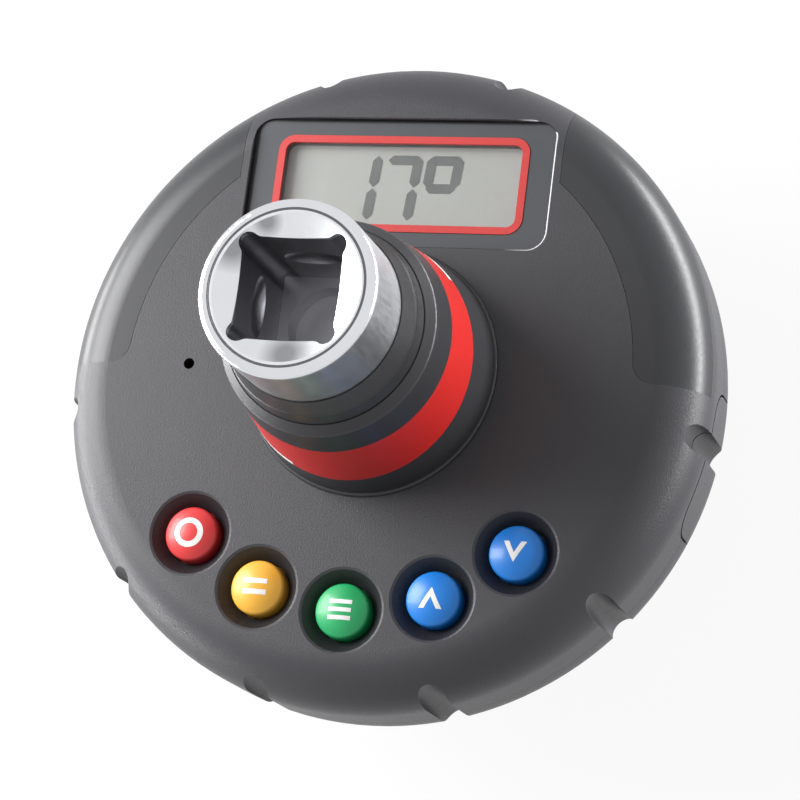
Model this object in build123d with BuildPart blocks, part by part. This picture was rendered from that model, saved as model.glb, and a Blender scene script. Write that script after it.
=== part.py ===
from build123d import *
import os
from math import asin, cos, radians, sin, sqrt

os.makedirs("parts", exist_ok=True)

# Digital torque tester for a half-inch square drive, in millimetres.
# The origin is the centre of the male square's end face. +Z runs up the drive axis to the
# female square, and +Y points from the axis to the display.

# Drive shaft
male_square = 12.6
male_square_length = 15.5
male_square_corner = 1.0
male_square_chamfer = 0.8
flange_radius = 15.0
flange_thickness = 4.0
flange_chamfer = 0.6
pilot_radius = 11.4
pilot_height = 5.4
waist_radius = 8.2
waist_blend = 2.4
waist_top_gap = 5.0
head_radius = 11.3
head_rise = 35.0
head_rim_fillet = 0.8
female_square = 12.85
female_square_depth = 16.0
relief_radius = 1.3
relief_offset = 5.55
relief_blend = 1.2
countersink_radius = 9.4
countersink_floor_radius = 6.0
countersink_depth = 1.1
centre_hole_radius = 5.1
centre_hole_depth = 3.0
ball_groove_depth = 1.1
ball_groove_height = 4.4
ball_groove_drop = 8.5

# Detent ball in the male square
ball_radius = 2.0
ball_proud = 0.95
ball_travel = 0.9
ball_height = 7.5
ball_clearance = 0.05
detent_wire = 0.2
detent_coil_radius = 1.45
detent_coil_length = 3.2
detent_coil_pitch = 0.8

# Fixing of the housing on the shaft
gasket_thickness = 1.0
gasket_width = 3.3
pin_radius = 1.0
pin_circle_radius = 13.2
pin_depth = 2.5
pin_height = 1.8
ring_thickness = 1.0
ring_groove_depth = 0.8
ring_reach = 0.9
ring_gap_angle = 50.0

# Clearances
seat_clearance = 0.05
joint_gap = 0.3

# Disc housing
disc_radius = 44.05
disc_height = 21.5
rim_fillet = 6.9
lower_fillet = 8.0
parting_drop = 11.9
wall = 2.4
lip_height = 1.5
lip_thickness = 1.0

# Grip notches in the rim
notch_angles = (73.3, 106.7, 188.2, 222.0, 254.5, 286.5, 319.0, 352.0)
notch_radius = 1.75
notch_depth = 2.2
notch_wall = 1.3

# Neck collar with its band
collar_height = 19.0
collar_top_radius = 14.1
collar_taper = 0.13
collar_shoulder_rise = 1.0
collar_shoulder_radius = 12.95
collar_bead_radius = 16.9
collar_bead_height = 0.6
collar_bead_fillet = 0.3
collar_bore_radius = 12.85
collar_foot_bore_radius = 11.9
spigot_radius = 14.45
spigot_length = 5.0
nut_radius = 16.2
nut_thickness = 2.2
band_top_rise = 14.2
band_base_rise = 6.5
band_tilt = 6.5
band_tilt_angle = 62.0
band_thickness = 0.5
trim_height = 1.1
trim_start = 40.0
trim_end = 243.0
band_bottom_rise = 3.0

# Seal and bush between collar and shaft
bush_length = 18.0
shaft_clearance = 0.04
seal_foot = 2.0
seal_groove_rise = 2.2
seal_groove_radius = 12.1
seal_tip_rise = 5.0
seal_tip_radius = 11.5

# Display
recess_width = 42.0
recess_height = 17.8
recess_centre_y = 26.05
recess_corner = 2.5
recess_lip = 0.15
plate_drop = 0.85
plate_thickness = 1.35
plate_ledge = 1.2
ledge_margin = 0.8
frame_width = 35.0
frame_height = 13.4
frame_corner = 2.2
frame_line = 1.0
frame_thickness = 0.4
frame_proud = 0.1
lens_thickness = 0.8
lens_drop = 0.45
lcd_width = 36.4
lcd_height = 14.0
lcd_thickness = 2.2
lcd_clearance = 0.3
backlight_height = 9.2
strip_width = 34.0
strip_depth = 1.5
strip_inset = 0.4

# Light windows
window_width = 9.25
window_margin = 0.3
window_low_angle = -0.4
window_high_angle = 80.0
window_side_x = 22.2
window_corner = 3.0

# Buttons on an arc below the neck
button_names = ("red", "amber", "green", "blue_left", "blue_right")
button_circle_radius = 31.74
button_spacing = 21.9
button_middle_angle = 270.0
button_radius = 3.6
button_edge_drop = 0.4
button_crown_rise = 0.75
button_edge_fillet = 0.6
button_flange = 0.85
button_flange_thickness = 0.7
button_flange_drop = 3.7
button_travel = 0.6
button_clearance = 0.2
well_radius = 5.4
well_depth = 2.1
well_lip = 0.15
sleeve_wall = 1.1

# Circuit board and what is on it
board_drop = 6.0
board_thickness = 1.6
board_gap = 2.15
board_bore_radius = 12.5
board_boss_slot = 6.6
switch_side = 4.6
switch_height = 0.9
plunger_radius = 1.0
plunger_engagement = 0.15
buzzer_x = -25.6
buzzer_radius = 6.0
buzzer_height = 3.2
buzzer_hole_radius = 0.75
led_angles = (8.0, 20.0, 32.0, 148.0, 160.0, 172.0)
led_inset = 2.0
led_length = 3.0
led_width = 1.5
led_height = 1.1
processor_place = (-15.5, -14.5)
processor_side = 7.0
processor_height = 1.2
amplifier_place = (20.0, -4.0)
amplifier_side = 4.0
amplifier_height = 1.0
gyro_place = (20.0, 6.0)
gyro_side = 3.0
gyro_height = 0.9
standoff_places = ((-23.0, 21.5), (-28.2, -10.3), (-3.3, -23.8))
standoff_radius = 2.1
board_screw_radius = 0.9
board_screw_head_radius = 1.8
board_screw_head_height = 1.1
board_screw_bite = 2.4

# Strain gauges and their flexible lead
gauge_angles = (0.0, 90.0, 180.0, 270.0)
gauge_half_angle = 18.0
gauge_thickness = 0.2
gauge_height = 6.0
gauge_drop = 7.0
flex_thickness = 0.15
flex_width = 4.0
flex_tail = 5.0

# Battery bay, along the direction of the battery door
door_angle = -10.5
cell_radius = 5.25
cell_body_length = 43.5
cell_nub_radius = 1.9
cell_nub_height = 1.0
cell_end_room = 3.05
cell_inner_row = 16.2
cell_row_pitch = 10.7
cell_floor_gap = 0.3
tray_wall = 0.9
tray_side_gap = 0.35
tray_ceiling = 0.6
tray_ceiling_gap = 0.05
contact_thickness = 0.3
contact_width = 8.0
contact_low_rise = 2.8
contact_tab_width = 2.0
cell_spring_wire = 0.35
cell_spring_radius = 3.0
cell_spring_pitch = 1.35

# Battery door
door_inner_edge = 15.3
door_outer_edge = 31.0
door_half_width = 25.5
door_corner = 2.0
tongue_width = 19.0
tongue_drop = 7.5
tongue_corner = 4.0
tongue_start = 30.0
ledge_thickness = 1.0
ledge_reach = 1.2
ledge_back = 1.5

# Housing screws
screw_angles = (48.0, 132.0, 215.0, 281.0)
screw_inset = 6.45
screw_radius = 1.2
screw_bite = 5.2
screw_head_radius = 2.3
screw_head_height = 1.8
screw_head_drop = 6.3
screw_socket_radius = 1.1
screw_socket_depth = 1.0
boss_radius = 2.4
boss_top_drop = 3.5
boss_rib = 2.0
pillar_radius = 3.4

# Sizes that follow from the ones above
button_angles = [button_middle_angle + step * button_spacing for step in range(-2, 3)]
notch_axis_radius = disc_radius - notch_depth + notch_radius
window_outer_radius = disc_radius - window_margin
window_inner_radius = window_outer_radius - window_width
board_radius = disc_radius - wall - board_gap
led_circle_radius = board_radius - led_inset
screw_circle_radius = disc_radius - screw_inset
lip_inner_radius = disc_radius - wall - seat_clearance - lip_thickness
flange_top_z = male_square_length + flange_thickness
bottom_z = flange_top_z + gasket_thickness
floor_z = bottom_z + wall
top_z = bottom_z + disc_height
ceiling_z = top_z - wall
parting_z = top_z - parting_drop
pilot_top_z = flange_top_z + pilot_height
waist_top_z = top_z - waist_top_gap
shaft_top_z = top_z + head_rise
collar_top_z = top_z + collar_height
collar_crown_z = collar_top_z + collar_shoulder_rise
bush_top_z = top_z + bush_length
board_top_z = top_z - board_drop
board_low_z = board_top_z - board_thickness
plate_top_z = top_z - plate_drop
plate_low_z = plate_top_z - plate_thickness
cell_z = floor_z + cell_floor_gap + cell_radius
bay_end = cell_body_length / 2 + cell_end_room
button_low_z = top_z - button_flange_drop - button_flange_thickness
window_low_z = top_z - rim_fillet + sqrt(rim_fillet**2 - (rim_fillet - window_margin) ** 2)


def polar(radius, angle, z=0.0):
    """Point at a radius and an angle in degrees round the drive axis."""
    return (radius * cos(radians(angle)), radius * sin(radians(angle)), z)


def disc_form(grow=0.0):
    """Solid of the disc, its surface moved out by grow."""
    low = lower_fillet + grow
    high = rim_fillet + grow
    edge = disc_radius + grow
    base = bottom_z - grow
    crown = top_z + grow
    with BuildPart() as form:
        with BuildSketch(Plane.XZ):
            with BuildLine():
                Line((0, base), (edge - low, base))
                CenterArc((edge - low, base + low), low, 270, 90)
                Line((edge, base + low), (edge, crown - high))
                CenterArc((edge - high, crown - high), high, 0, 90)
                Line((edge - high, crown), (0, crown))
                Line((0, crown), (0, base))
            make_face()
        revolve(axis=Axis.Z)
    return form.part


def sector(inner, outer, start, end):
    """Flat ring sector round the drive axis, between two radii and two angles."""
    with BuildSketch() as shape:
        with BuildLine():
            Line(polar(inner, start), polar(outer, start))
            CenterArc((0, 0), outer, start, end - start)
            Line(polar(outer, end), polar(inner, end))
            CenterArc((0, 0), inner, start, end - start)
        make_face()
    return shape.sketch


# Frame of the battery bay: x along the door's direction, y along the cells
bay = Plane(origin=(0, 0, 0), x_dir=polar(1, door_angle), z_dir=(0, 0, 1))
bay_y = Vector(polar(1, door_angle + 90))


def bay_point(along, across, z):
    """Point of the battery bay in the part's own frame."""
    return bay.from_local_coords(Vector(along, across, z))


def door_zone(gap):
    """Space that the battery door takes out of the housing, grown by gap."""
    with BuildPart() as zone:
        with BuildSketch(bay.offset(bottom_z - wall)):
            with Locations(((door_inner_edge + door_outer_edge) / 2, 0)):
                RectangleRounded(
                    door_outer_edge - door_inner_edge + 2 * gap,
                    2 * door_half_width + 2 * gap,
                    door_corner + gap,
                )
        extrude(amount=parting_z - bottom_z)
        side = Plane(origin=bay_point(tongue_start, 0, bottom_z), x_dir=bay_y, z_dir=bay.x_dir)
        tongue_height = top_z - tongue_drop - bottom_z + gap
        with BuildSketch(side) as tongue:
            with Locations((0, tongue_height / 2 - wall / 2)):
                Rectangle(tongue_width + 2 * gap, tongue_height + wall)
            fillet(tongue.vertices().group_by(Axis.Y)[-1], tongue_corner + gap)
        extrude(amount=disc_radius)
    return zone.part


def window_plan(side, gap):
    """Outline of a light window seen from above, grown by gap; side is 1 or -1."""
    with BuildSketch() as plan:
        add(
            sector(
                window_inner_radius - gap,
                window_outer_radius + gap,
                window_low_angle,
                window_high_angle,
            )
        )
        with Locations((window_side_x - gap, -1)):
            Rectangle(disc_radius, disc_radius + 1, align=(Align.MIN, Align.MIN), mode=Mode.INTERSECT)
        inner_low = plan.vertices().sort_by_distance(polar(window_inner_radius, window_low_angle))[0]
        fillet(inner_low, window_corner)
        if side < 0:
            mirror(about=Plane.YZ, mode=Mode.REPLACE)
    return plan.sketch


# Parts of the disc that several pieces are cut from
def notched(form, radius):
    """Copy of a disc form with an upright round cut of the given radius at each notch."""
    with BuildPart() as cut:
        add(form)
        for angle in notch_angles:
            with Locations(polar(notch_axis_radius, angle, bottom_z)):
                Cylinder(
                    radius,
                    disc_height,
                    align=(Align.CENTER, Align.CENTER, Align.MIN),
                    mode=Mode.SUBTRACT,
                )
    return cut.part


disc_blank = notched(disc_form(), notch_radius)
disc_core = notched(disc_form(grow=-wall), notch_radius + notch_wall)


def on_square_side(spot):
    """Whether a point of the socket's outline lies on one of the square's sides."""
    return abs(max(abs(spot.X), abs(spot.Y)) - female_square / 2) < seat_clearance


# Drive shaft: male square, flange, gauge waist and the head with the female square
with BuildPart() as torque_shaft:
    with BuildSketch():
        RectangleRounded(male_square, male_square, male_square_corner)
    extrude(amount=male_square_length)
    chamfer(torque_shaft.edges().group_by(Axis.Z)[0], male_square_chamfer)
    with BuildSketch(Plane.XY.offset(male_square_length)):
        Circle(flange_radius)
    extrude(amount=flange_thickness)
    chamfer(
        torque_shaft.edges().filter_by(GeomType.CIRCLE).filter_by(lambda edge: edge.radius > pilot_radius),
        flange_chamfer,
    )
    with BuildSketch(Plane.XZ):
        with BuildLine():
            Polyline(
                (0, flange_top_z),
                (pilot_radius, flange_top_z),
                (pilot_radius, pilot_top_z),
                (waist_radius, pilot_top_z + waist_blend),
                (waist_radius, waist_top_z),
                (head_radius, waist_top_z + waist_blend),
                (head_radius, shaft_top_z),
                (0, shaft_top_z),
                close=True,
            )
        make_face()
    revolve(axis=Axis.Z)
    fillet(torque_shaft.edges().group_by(Axis.Z)[-1], head_rim_fillet)
    with BuildSketch(Plane.XY.offset(floor_z)):
        Circle(pilot_radius)
        Circle(pilot_radius - ring_groove_depth, mode=Mode.SUBTRACT)
    extrude(amount=ring_thickness + seat_clearance, mode=Mode.SUBTRACT)
    with BuildSketch(Plane.XY.offset(shaft_top_z)) as socket:
        Rectangle(female_square, female_square)
        with GridLocations(2 * relief_offset, 2 * relief_offset, 2, 2):
            Circle(relief_radius)
        fillet(socket.vertices().filter_by(on_square_side), relief_blend)
    extrude(amount=-female_square_depth, mode=Mode.SUBTRACT)
    with BuildSketch(Plane.XY.offset(shaft_top_z - female_square_depth)):
        Circle(centre_hole_radius)
    extrude(amount=-centre_hole_depth, mode=Mode.SUBTRACT)
    with BuildSketch(Plane.XZ):
        with BuildLine():
            Polyline(
                (0, shaft_top_z),
                (countersink_radius, shaft_top_z),
                (countersink_floor_radius, shaft_top_z - countersink_depth),
                (0, shaft_top_z - countersink_depth),
                close=True,
            )
        make_face()
    revolve(axis=Axis.Z, mode=Mode.SUBTRACT)
    groove_radius = ((ball_groove_height / 2) ** 2 + ball_groove_depth**2) / (2 * ball_groove_depth)
    groove_reach = female_square / 2 + ball_groove_depth
    with BuildSketch(Plane.XZ):
        with Locations((groove_reach - groove_radius, shaft_top_z - ball_groove_drop)):
            Circle(groove_radius)
    revolve(axis=Axis.Z, mode=Mode.SUBTRACT)
    for angle in (90, 270):
        with Locations(polar(pin_circle_radius, angle, flange_top_z - pin_depth)):
            Cylinder(
                pin_radius + seat_clearance,
                pin_depth,
                align=(Align.CENTER, Align.CENTER, Align.MIN),
                mode=Mode.SUBTRACT,
            )
    ball_y = -(male_square / 2 + ball_proud - ball_radius)
    ball_bore = ball_radius + ball_clearance
    bore_end = ball_y + ball_travel + ball_radius + detent_coil_length + detent_wire + seat_clearance
    with BuildSketch(Plane.YZ):
        with BuildLine():
            Line((ball_y - ball_bore, ball_height), (bore_end, ball_height))
            Line((bore_end, ball_height), (bore_end, ball_height + ball_bore))
            Line((bore_end, ball_height + ball_bore), (ball_y, ball_height + ball_bore))
            CenterArc((ball_y, ball_height), ball_bore, 90, 90)
        make_face()
    revolve(axis=Axis((0, 0, ball_height), (0, 1, 0)), mode=Mode.SUBTRACT)
torque_shaft.part.label = "torque_shaft"
export_step(torque_shaft.part, "parts/torque_shaft.step")

# Detent ball, pressed out of the male square by its spring
with BuildPart() as detent_ball:
    with Locations((0, ball_y, ball_height)):
        Sphere(ball_radius)
detent_ball.part.label = "detent_ball"
export_step(detent_ball.part, "parts/detent_ball.step")

with BuildPart() as detent_spring:
    spring_start = ball_y + sqrt(ball_radius**2 - detent_coil_radius**2) + 2 * detent_wire
    with BuildLine() as coil:
        Helix(
            pitch=detent_coil_pitch,
            height=detent_coil_length,
            radius=detent_coil_radius,
            center=(0, spring_start, ball_height),
            direction=(0, 1, 0),
        )
    with BuildSketch(Plane(origin=coil.line @ 0, z_dir=coil.line % 0)):
        Circle(detent_wire)
    sweep(is_frenet=True)
detent_spring.part.label = "detent_spring"
export_step(detent_spring.part, "parts/detent_spring.step")

# Gasket, pins and ring that fix the housing on the shaft
with BuildPart() as flange_gasket:
    with BuildSketch(Plane.XY.offset(flange_top_z)):
        Circle(pilot_radius + seat_clearance + gasket_width)
        Circle(pilot_radius + seat_clearance, mode=Mode.SUBTRACT)
        with PolarLocations(pin_circle_radius, 2, start_angle=90):
            Circle(pin_radius + seat_clearance, mode=Mode.SUBTRACT)
    extrude(amount=gasket_thickness)
flange_gasket.part.label = "flange_gasket"
export_step(flange_gasket.part, "parts/flange_gasket.step")

with BuildPart() as locating_pins:
    with BuildSketch(Plane.XY.offset(flange_top_z - pin_depth)):
        with PolarLocations(pin_circle_radius, 2, start_angle=90):
            Circle(pin_radius)
    extrude(amount=pin_depth + gasket_thickness + pin_height)
locating_pins.part.label = "locating_pins"
export_step(locating_pins.part, "parts/locating_pins.step")

with BuildPart() as retaining_ring:
    with BuildSketch(Plane.XY.offset(floor_z)):
        add(
            sector(
                pilot_radius - ring_groove_depth + seat_clearance,
                pilot_radius + ring_reach,
                door_angle + 180 + ring_gap_angle / 2 - 360,
                door_angle + 180 - ring_gap_angle / 2,
            )
        )
    extrude(amount=ring_thickness)
retaining_ring.part.label = "retaining_ring"
export_step(retaining_ring.part, "parts/retaining_ring.step")

# Upper shell of the disc
with BuildPart() as top_housing:
    add(disc_blank)
    split(bisect_by=Plane.XY.offset(parting_z), keep=Keep.TOP)
    add(disc_core, mode=Mode.SUBTRACT)
    with BuildSketch(Plane.XY.offset(plate_low_z - plate_ledge)):
        with Locations((0, recess_centre_y)):
            Rectangle(recess_width + 2 * ledge_margin, recess_height + 2 * ledge_margin)
    extrude(amount=plate_ledge)
    for angle in screw_angles:
        with BuildSketch(Plane.XY.offset(parting_z)):
            with Locations(polar(screw_circle_radius, angle)):
                Circle(boss_radius)
        extrude(amount=top_z - boss_top_drop - parting_z)
        spoke = Plane(origin=(0, 0, parting_z), x_dir=polar(1, angle), z_dir=(0, 0, 1))
        with BuildSketch(spoke):
            with Locations((screw_circle_radius, 0)):
                Rectangle(
                    disc_radius - wall / 2 - screw_circle_radius,
                    boss_rib,
                    align=(Align.MIN, Align.CENTER),
                )
        extrude(amount=window_low_z - parting_z)
    with BuildSketch(Plane.XY.offset(top_z - boss_top_drop)):
        for angle in screw_angles[2:]:
            with Locations(polar(screw_circle_radius, angle)):
                Circle(boss_radius)
    extrude(amount=boss_top_drop - wall / 2)
    with BuildSketch(Plane.XY.offset(board_top_z)):
        with Locations(*standoff_places):
            Circle(standoff_radius)
    extrude(amount=ceiling_z - board_top_z + wall / 2)
    with BuildSketch(Plane.XY.offset(button_low_z + button_flange_thickness + seat_clearance)):
        for angle in button_angles:
            with Locations(polar(button_circle_radius, angle)):
                Circle(button_radius + button_clearance + sleeve_wall)
    extrude(amount=button_flange_drop - seat_clearance - wall / 2)
    with BuildSketch(Plane.XY.offset(ceiling_z - wall)):
        Circle(spigot_radius + seat_clearance)
    extrude(amount=2 * wall, mode=Mode.SUBTRACT)
    with BuildSketch(Plane.XY.offset(plate_low_z)):
        with Locations((0, recess_centre_y)):
            RectangleRounded(recess_width, recess_height, recess_corner)
    extrude(amount=wall, mode=Mode.SUBTRACT)
    with BuildSketch(Plane.XY.offset(top_z - recess_lip)):
        with Locations((0, recess_centre_y)):
            RectangleRounded(recess_width, recess_height, recess_corner)
    extrude(amount=recess_lip, taper=-45, mode=Mode.SUBTRACT)
    with BuildSketch(Plane.XY.offset(plate_low_z - plate_ledge)):
        with Locations((0, recess_centre_y)):
            Rectangle(lcd_width + 2 * lcd_clearance, lcd_height + 2 * lcd_clearance)
    extrude(amount=plate_ledge, mode=Mode.SUBTRACT)
    for side in (1, -1):
        with BuildSketch(Plane.XY.offset(window_low_z - seat_clearance)):
            add(window_plan(side, seat_clearance))
        extrude(amount=rim_fillet, mode=Mode.SUBTRACT)
    for angle in button_angles:
        well = Plane(
            origin=polar(button_circle_radius, angle),
            x_dir=polar(1, angle),
            z_dir=polar(1, angle - 90),
        )
        with BuildSketch(well):
            with BuildLine():
                Polyline(
                    (0, button_low_z),
                    (button_radius + button_clearance, button_low_z),
                    (button_radius + button_clearance, top_z - well_depth),
                    (well_radius, top_z - well_lip),
                    (well_radius + 2 * well_lip, top_z),
                    (0, top_z),
                    close=True,
                )
            make_face()
        revolve(axis=Axis(well.origin, (0, 0, 1)), mode=Mode.SUBTRACT)
    with BuildSketch(Plane.XY.offset(ceiling_z - wall)):
        with Locations((buzzer_x, 0)):
            Circle(buzzer_hole_radius)
    extrude(amount=2 * wall, mode=Mode.SUBTRACT)
    with BuildSketch(Plane.XY.offset(parting_z)):
        for angle in screw_angles:
            with Locations(polar(screw_circle_radius, angle)):
                Circle(screw_radius)
    extrude(amount=screw_bite + seat_clearance, mode=Mode.SUBTRACT)
    with BuildSketch(Plane.XY.offset(board_top_z)):
        with Locations(*standoff_places):
            Circle(board_screw_radius)
    extrude(amount=board_screw_bite + seat_clearance, mode=Mode.SUBTRACT)
    add(door_zone(joint_gap), mode=Mode.SUBTRACT)
top_housing.part.label = "top_housing"
export_step(top_housing.part, "parts/top_housing.step")

# Lower shell of the disc
with BuildPart() as bottom_housing:
    add(disc_blank)
    split(bisect_by=Plane.XY.offset(parting_z), keep=Keep.BOTTOM)
    add(disc_core, mode=Mode.SUBTRACT)
    for angle in screw_angles:
        with BuildSketch(Plane.XY.offset(floor_z)):
            with Locations(polar(screw_circle_radius, angle)):
                Circle(pillar_radius)
        extrude(amount=parting_z - floor_z)
    with BuildSketch(Plane.XY.offset(parting_z - lip_height)):
        Circle(disc_radius - wall)
        Circle(lip_inner_radius, mode=Mode.SUBTRACT)
    extrude(amount=lip_height)
    with BuildSketch(Plane.XY.offset(parting_z)):
        Circle(disc_radius - wall - seat_clearance)
        Circle(lip_inner_radius, mode=Mode.SUBTRACT)
        for angle in screw_angles:
            with Locations(Location(polar(screw_circle_radius, angle), angle)):
                Rectangle(2 * screw_inset, boss_rib + 2 * joint_gap, mode=Mode.SUBTRACT)
        for angle in notch_angles:
            with Locations(polar(notch_axis_radius, angle)):
                Circle(notch_radius + notch_wall + seat_clearance, mode=Mode.SUBTRACT)
    extrude(amount=lip_height)
    with BuildSketch(Plane.XY.offset(bottom_z)):
        Circle(pilot_radius + seat_clearance)
    extrude(amount=wall, mode=Mode.SUBTRACT)
    with BuildSketch(Plane.XY.offset(bottom_z)):
        with PolarLocations(pin_circle_radius, 2, start_angle=90):
            Circle(pin_radius + seat_clearance)
    extrude(amount=pin_height, mode=Mode.SUBTRACT)
    for angle in screw_angles:
        with BuildSketch(Plane.XY.offset(bottom_z)):
            with Locations(polar(screw_circle_radius, angle)):
                Circle(screw_head_radius + joint_gap)
        extrude(amount=parting_z - screw_head_drop - bottom_z, mode=Mode.SUBTRACT)
        with BuildSketch(Plane.XY.offset(bottom_z)):
            with Locations(polar(screw_circle_radius, angle)):
                Circle(screw_radius + seat_clearance)
        extrude(amount=parting_z - bottom_z, mode=Mode.SUBTRACT)
    add(door_zone(joint_gap), mode=Mode.SUBTRACT)
    with BuildSketch(bay.offset(floor_z)) as ledges:
        for end in (-1, 1):
            reach_mid = door_half_width + (ledge_back - ledge_reach) / 2
            with Locations(((door_inner_edge + door_outer_edge) / 2, end * reach_mid)):
                Rectangle(door_outer_edge - door_inner_edge, ledge_back + ledge_reach)
    ledge_pads = extrude(amount=ledge_thickness, mode=Mode.PRIVATE)
    add(ledge_pads.intersect(disc_core))
bottom_housing.part.label = "bottom_housing"
export_step(bottom_housing.part, "parts/bottom_housing.step")

# Battery door with the tongue that rises over the rim
with BuildPart() as battery_door:
    add(disc_blank)
    add(disc_core, mode=Mode.SUBTRACT)
    add(door_zone(0), mode=Mode.INTERSECT)
battery_door.part.label = "battery_door"
export_step(battery_door.part, "parts/battery_door.step")

# Light windows set flush in the upper shell
for name, side in (("light_window_right", 1), ("light_window_left", -1)):
    with BuildPart() as light_window:
        add(disc_blank)
        add(disc_core, mode=Mode.SUBTRACT)
        with BuildSketch(Plane.XY.offset(window_low_z)):
            add(window_plan(side, 0))
        extrude(amount=rim_fillet, mode=Mode.INTERSECT)
    light_window.part.label = name
    export_step(light_window.part, f"parts/{name}.step")

# Neck collar: a tapered sleeve with a bead at its foot and a spigot through the upper shell
collar_foot_radius = collar_top_radius + collar_height * collar_taper


def collar_radius(rise):
    """Outer radius of the collar at a height above the disc's top."""
    return collar_foot_radius - rise * collar_taper


def band_plane(rise):
    """Tilted plane that cuts the lower edge of the band."""
    lean = radians(band_tilt)
    slope = polar(-sin(lean), band_tilt_angle, cos(lean))
    return Plane(origin=(0, 0, top_z + rise), z_dir=slope)


with BuildPart() as band_blank:
    with BuildSketch(Plane.XZ):
        Polygon(
            (collar_radius(band_bottom_rise) - band_thickness, top_z + band_bottom_rise),
            (collar_radius(band_bottom_rise), top_z + band_bottom_rise),
            (collar_radius(band_top_rise), top_z + band_top_rise),
            (collar_radius(band_top_rise) - band_thickness, top_z + band_top_rise),
            align=None,
        )
    revolve(axis=Axis.Z)
    split(bisect_by=band_plane(band_base_rise), keep=Keep.TOP)

with BuildPart() as band_trim:
    add(band_blank.part)
    split(bisect_by=band_plane(band_base_rise + trim_height), keep=Keep.BOTTOM)
    with BuildSketch(Plane.XY.offset(top_z)):
        add(sector(head_radius, disc_radius / 2, trim_start, trim_end))
    extrude(amount=collar_height, mode=Mode.INTERSECT)
band_trim.part.label = "band_trim"
export_step(band_trim.part, "parts/band_trim.step")

with BuildPart() as neck_band:
    add(band_blank.part)
    add(band_trim.part, mode=Mode.SUBTRACT)
neck_band.part.label = "neck_band"
export_step(neck_band.part, "parts/neck_band.step")

with BuildPart() as neck_collar:
    with BuildSketch(Plane.XZ):
        Polygon(
            (collar_foot_bore_radius, top_z - spigot_length),
            (spigot_radius, top_z - spigot_length),
            (spigot_radius, top_z),
            (collar_bead_radius, top_z),
            (collar_bead_radius, top_z + collar_bead_height),
            (collar_radius(collar_bead_height), top_z + collar_bead_height),
            (collar_top_radius, collar_top_z),
            (collar_shoulder_radius, collar_crown_z),
            (collar_bore_radius, collar_crown_z),
            (collar_bore_radius, top_z),
            (collar_foot_bore_radius, top_z),
            align=None,
        )
    revolve(axis=Axis.Z)
    rings = neck_collar.edges().filter_by(GeomType.CIRCLE)
    bead = rings.filter_by(lambda edge: edge.radius > collar_foot_radius)
    fillet(bead.group_by(Axis.Z)[-1], collar_bead_fillet)
    fillet(neck_collar.edges().filter_by(GeomType.CIRCLE).group_by(Axis.Z)[-2], collar_shoulder_rise / 2)
    add(band_blank.part, mode=Mode.SUBTRACT)
neck_collar.part.label = "neck_collar"
export_step(neck_collar.part, "parts/neck_collar.step")

with BuildPart() as collar_nut:
    with BuildSketch(Plane.XY.offset(ceiling_z - nut_thickness)):
        Circle(nut_radius)
        Circle(spigot_radius + seat_clearance, mode=Mode.SUBTRACT)
        with PolarLocations(nut_radius, 6):
            Circle(pin_radius, mode=Mode.SUBTRACT)
    extrude(amount=nut_thickness)
collar_nut.part.label = "collar_nut"
export_step(collar_nut.part, "parts/collar_nut.step")

# Bush and lip seal that centre the collar on the shaft's head
with BuildPart() as upper_bush:
    with BuildSketch(Plane.XY.offset(top_z)):
        Circle(collar_bore_radius - seat_clearance)
        Circle(head_radius + shaft_clearance, mode=Mode.SUBTRACT)
    extrude(amount=bush_length - seal_foot)
upper_bush.part.label = "upper_bush"
export_step(upper_bush.part, "parts/upper_bush.step")

with BuildPart() as neck_seal:
    seal_foot_radius = collar_bore_radius - seat_clearance
    seal_bore_radius = head_radius + shaft_clearance
    seal_low_z = bush_top_z - seal_foot
    with BuildSketch(Plane.XZ):
        Polygon(
            (seal_bore_radius, seal_low_z),
            (seal_foot_radius, seal_low_z),
            (seal_foot_radius, collar_crown_z),
            (seal_groove_radius + joint_gap, collar_crown_z + seal_groove_rise - joint_gap),
            (seal_groove_radius, collar_crown_z + seal_groove_rise),
            (seal_groove_radius + joint_gap / 2, collar_crown_z + seal_groove_rise + joint_gap / 2),
            (seal_tip_radius, collar_crown_z + seal_tip_rise),
            (seal_bore_radius, collar_crown_z + seal_tip_rise),
            align=None,
        )
    revolve(axis=Axis.Z)
neck_seal.part.label = "neck_seal"
export_step(neck_seal.part, "parts/neck_seal.step")

# Display: plate with its frame and lens, glass, light guide and contact strips
with BuildPart() as display_plate:
    with BuildSketch(Plane.XY.offset(plate_low_z)):
        with Locations((0, recess_centre_y)):
            RectangleRounded(
                recess_width - 2 * seat_clearance,
                recess_height - 2 * seat_clearance,
                recess_corner - seat_clearance,
            )
            RectangleRounded(
                frame_width - 2 * frame_line,
                frame_height - 2 * frame_line,
                frame_corner - frame_line,
                mode=Mode.SUBTRACT,
            )
    extrude(amount=plate_thickness)
    with BuildSketch(Plane.XY.offset(plate_top_z - frame_thickness)):
        with Locations((0, recess_centre_y)):
            RectangleRounded(
                frame_width + 2 * seat_clearance,
                frame_height + 2 * seat_clearance,
                frame_corner + seat_clearance,
            )
    extrude(amount=frame_thickness, mode=Mode.SUBTRACT)
display_plate.part.label = "display_plate"
export_step(display_plate.part, "parts/display_plate.step")

with BuildPart() as display_frame:
    with BuildSketch(Plane.XY.offset(plate_top_z - frame_thickness)):
        with Locations((0, recess_centre_y)):
            RectangleRounded(frame_width, frame_height, frame_corner)
            RectangleRounded(
                frame_width - 2 * frame_line,
                frame_height - 2 * frame_line,
                frame_corner - frame_line,
                mode=Mode.SUBTRACT,
            )
    extrude(amount=frame_thickness + frame_proud)
display_frame.part.label = "display_frame"
export_step(display_frame.part, "parts/display_frame.step")

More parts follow.
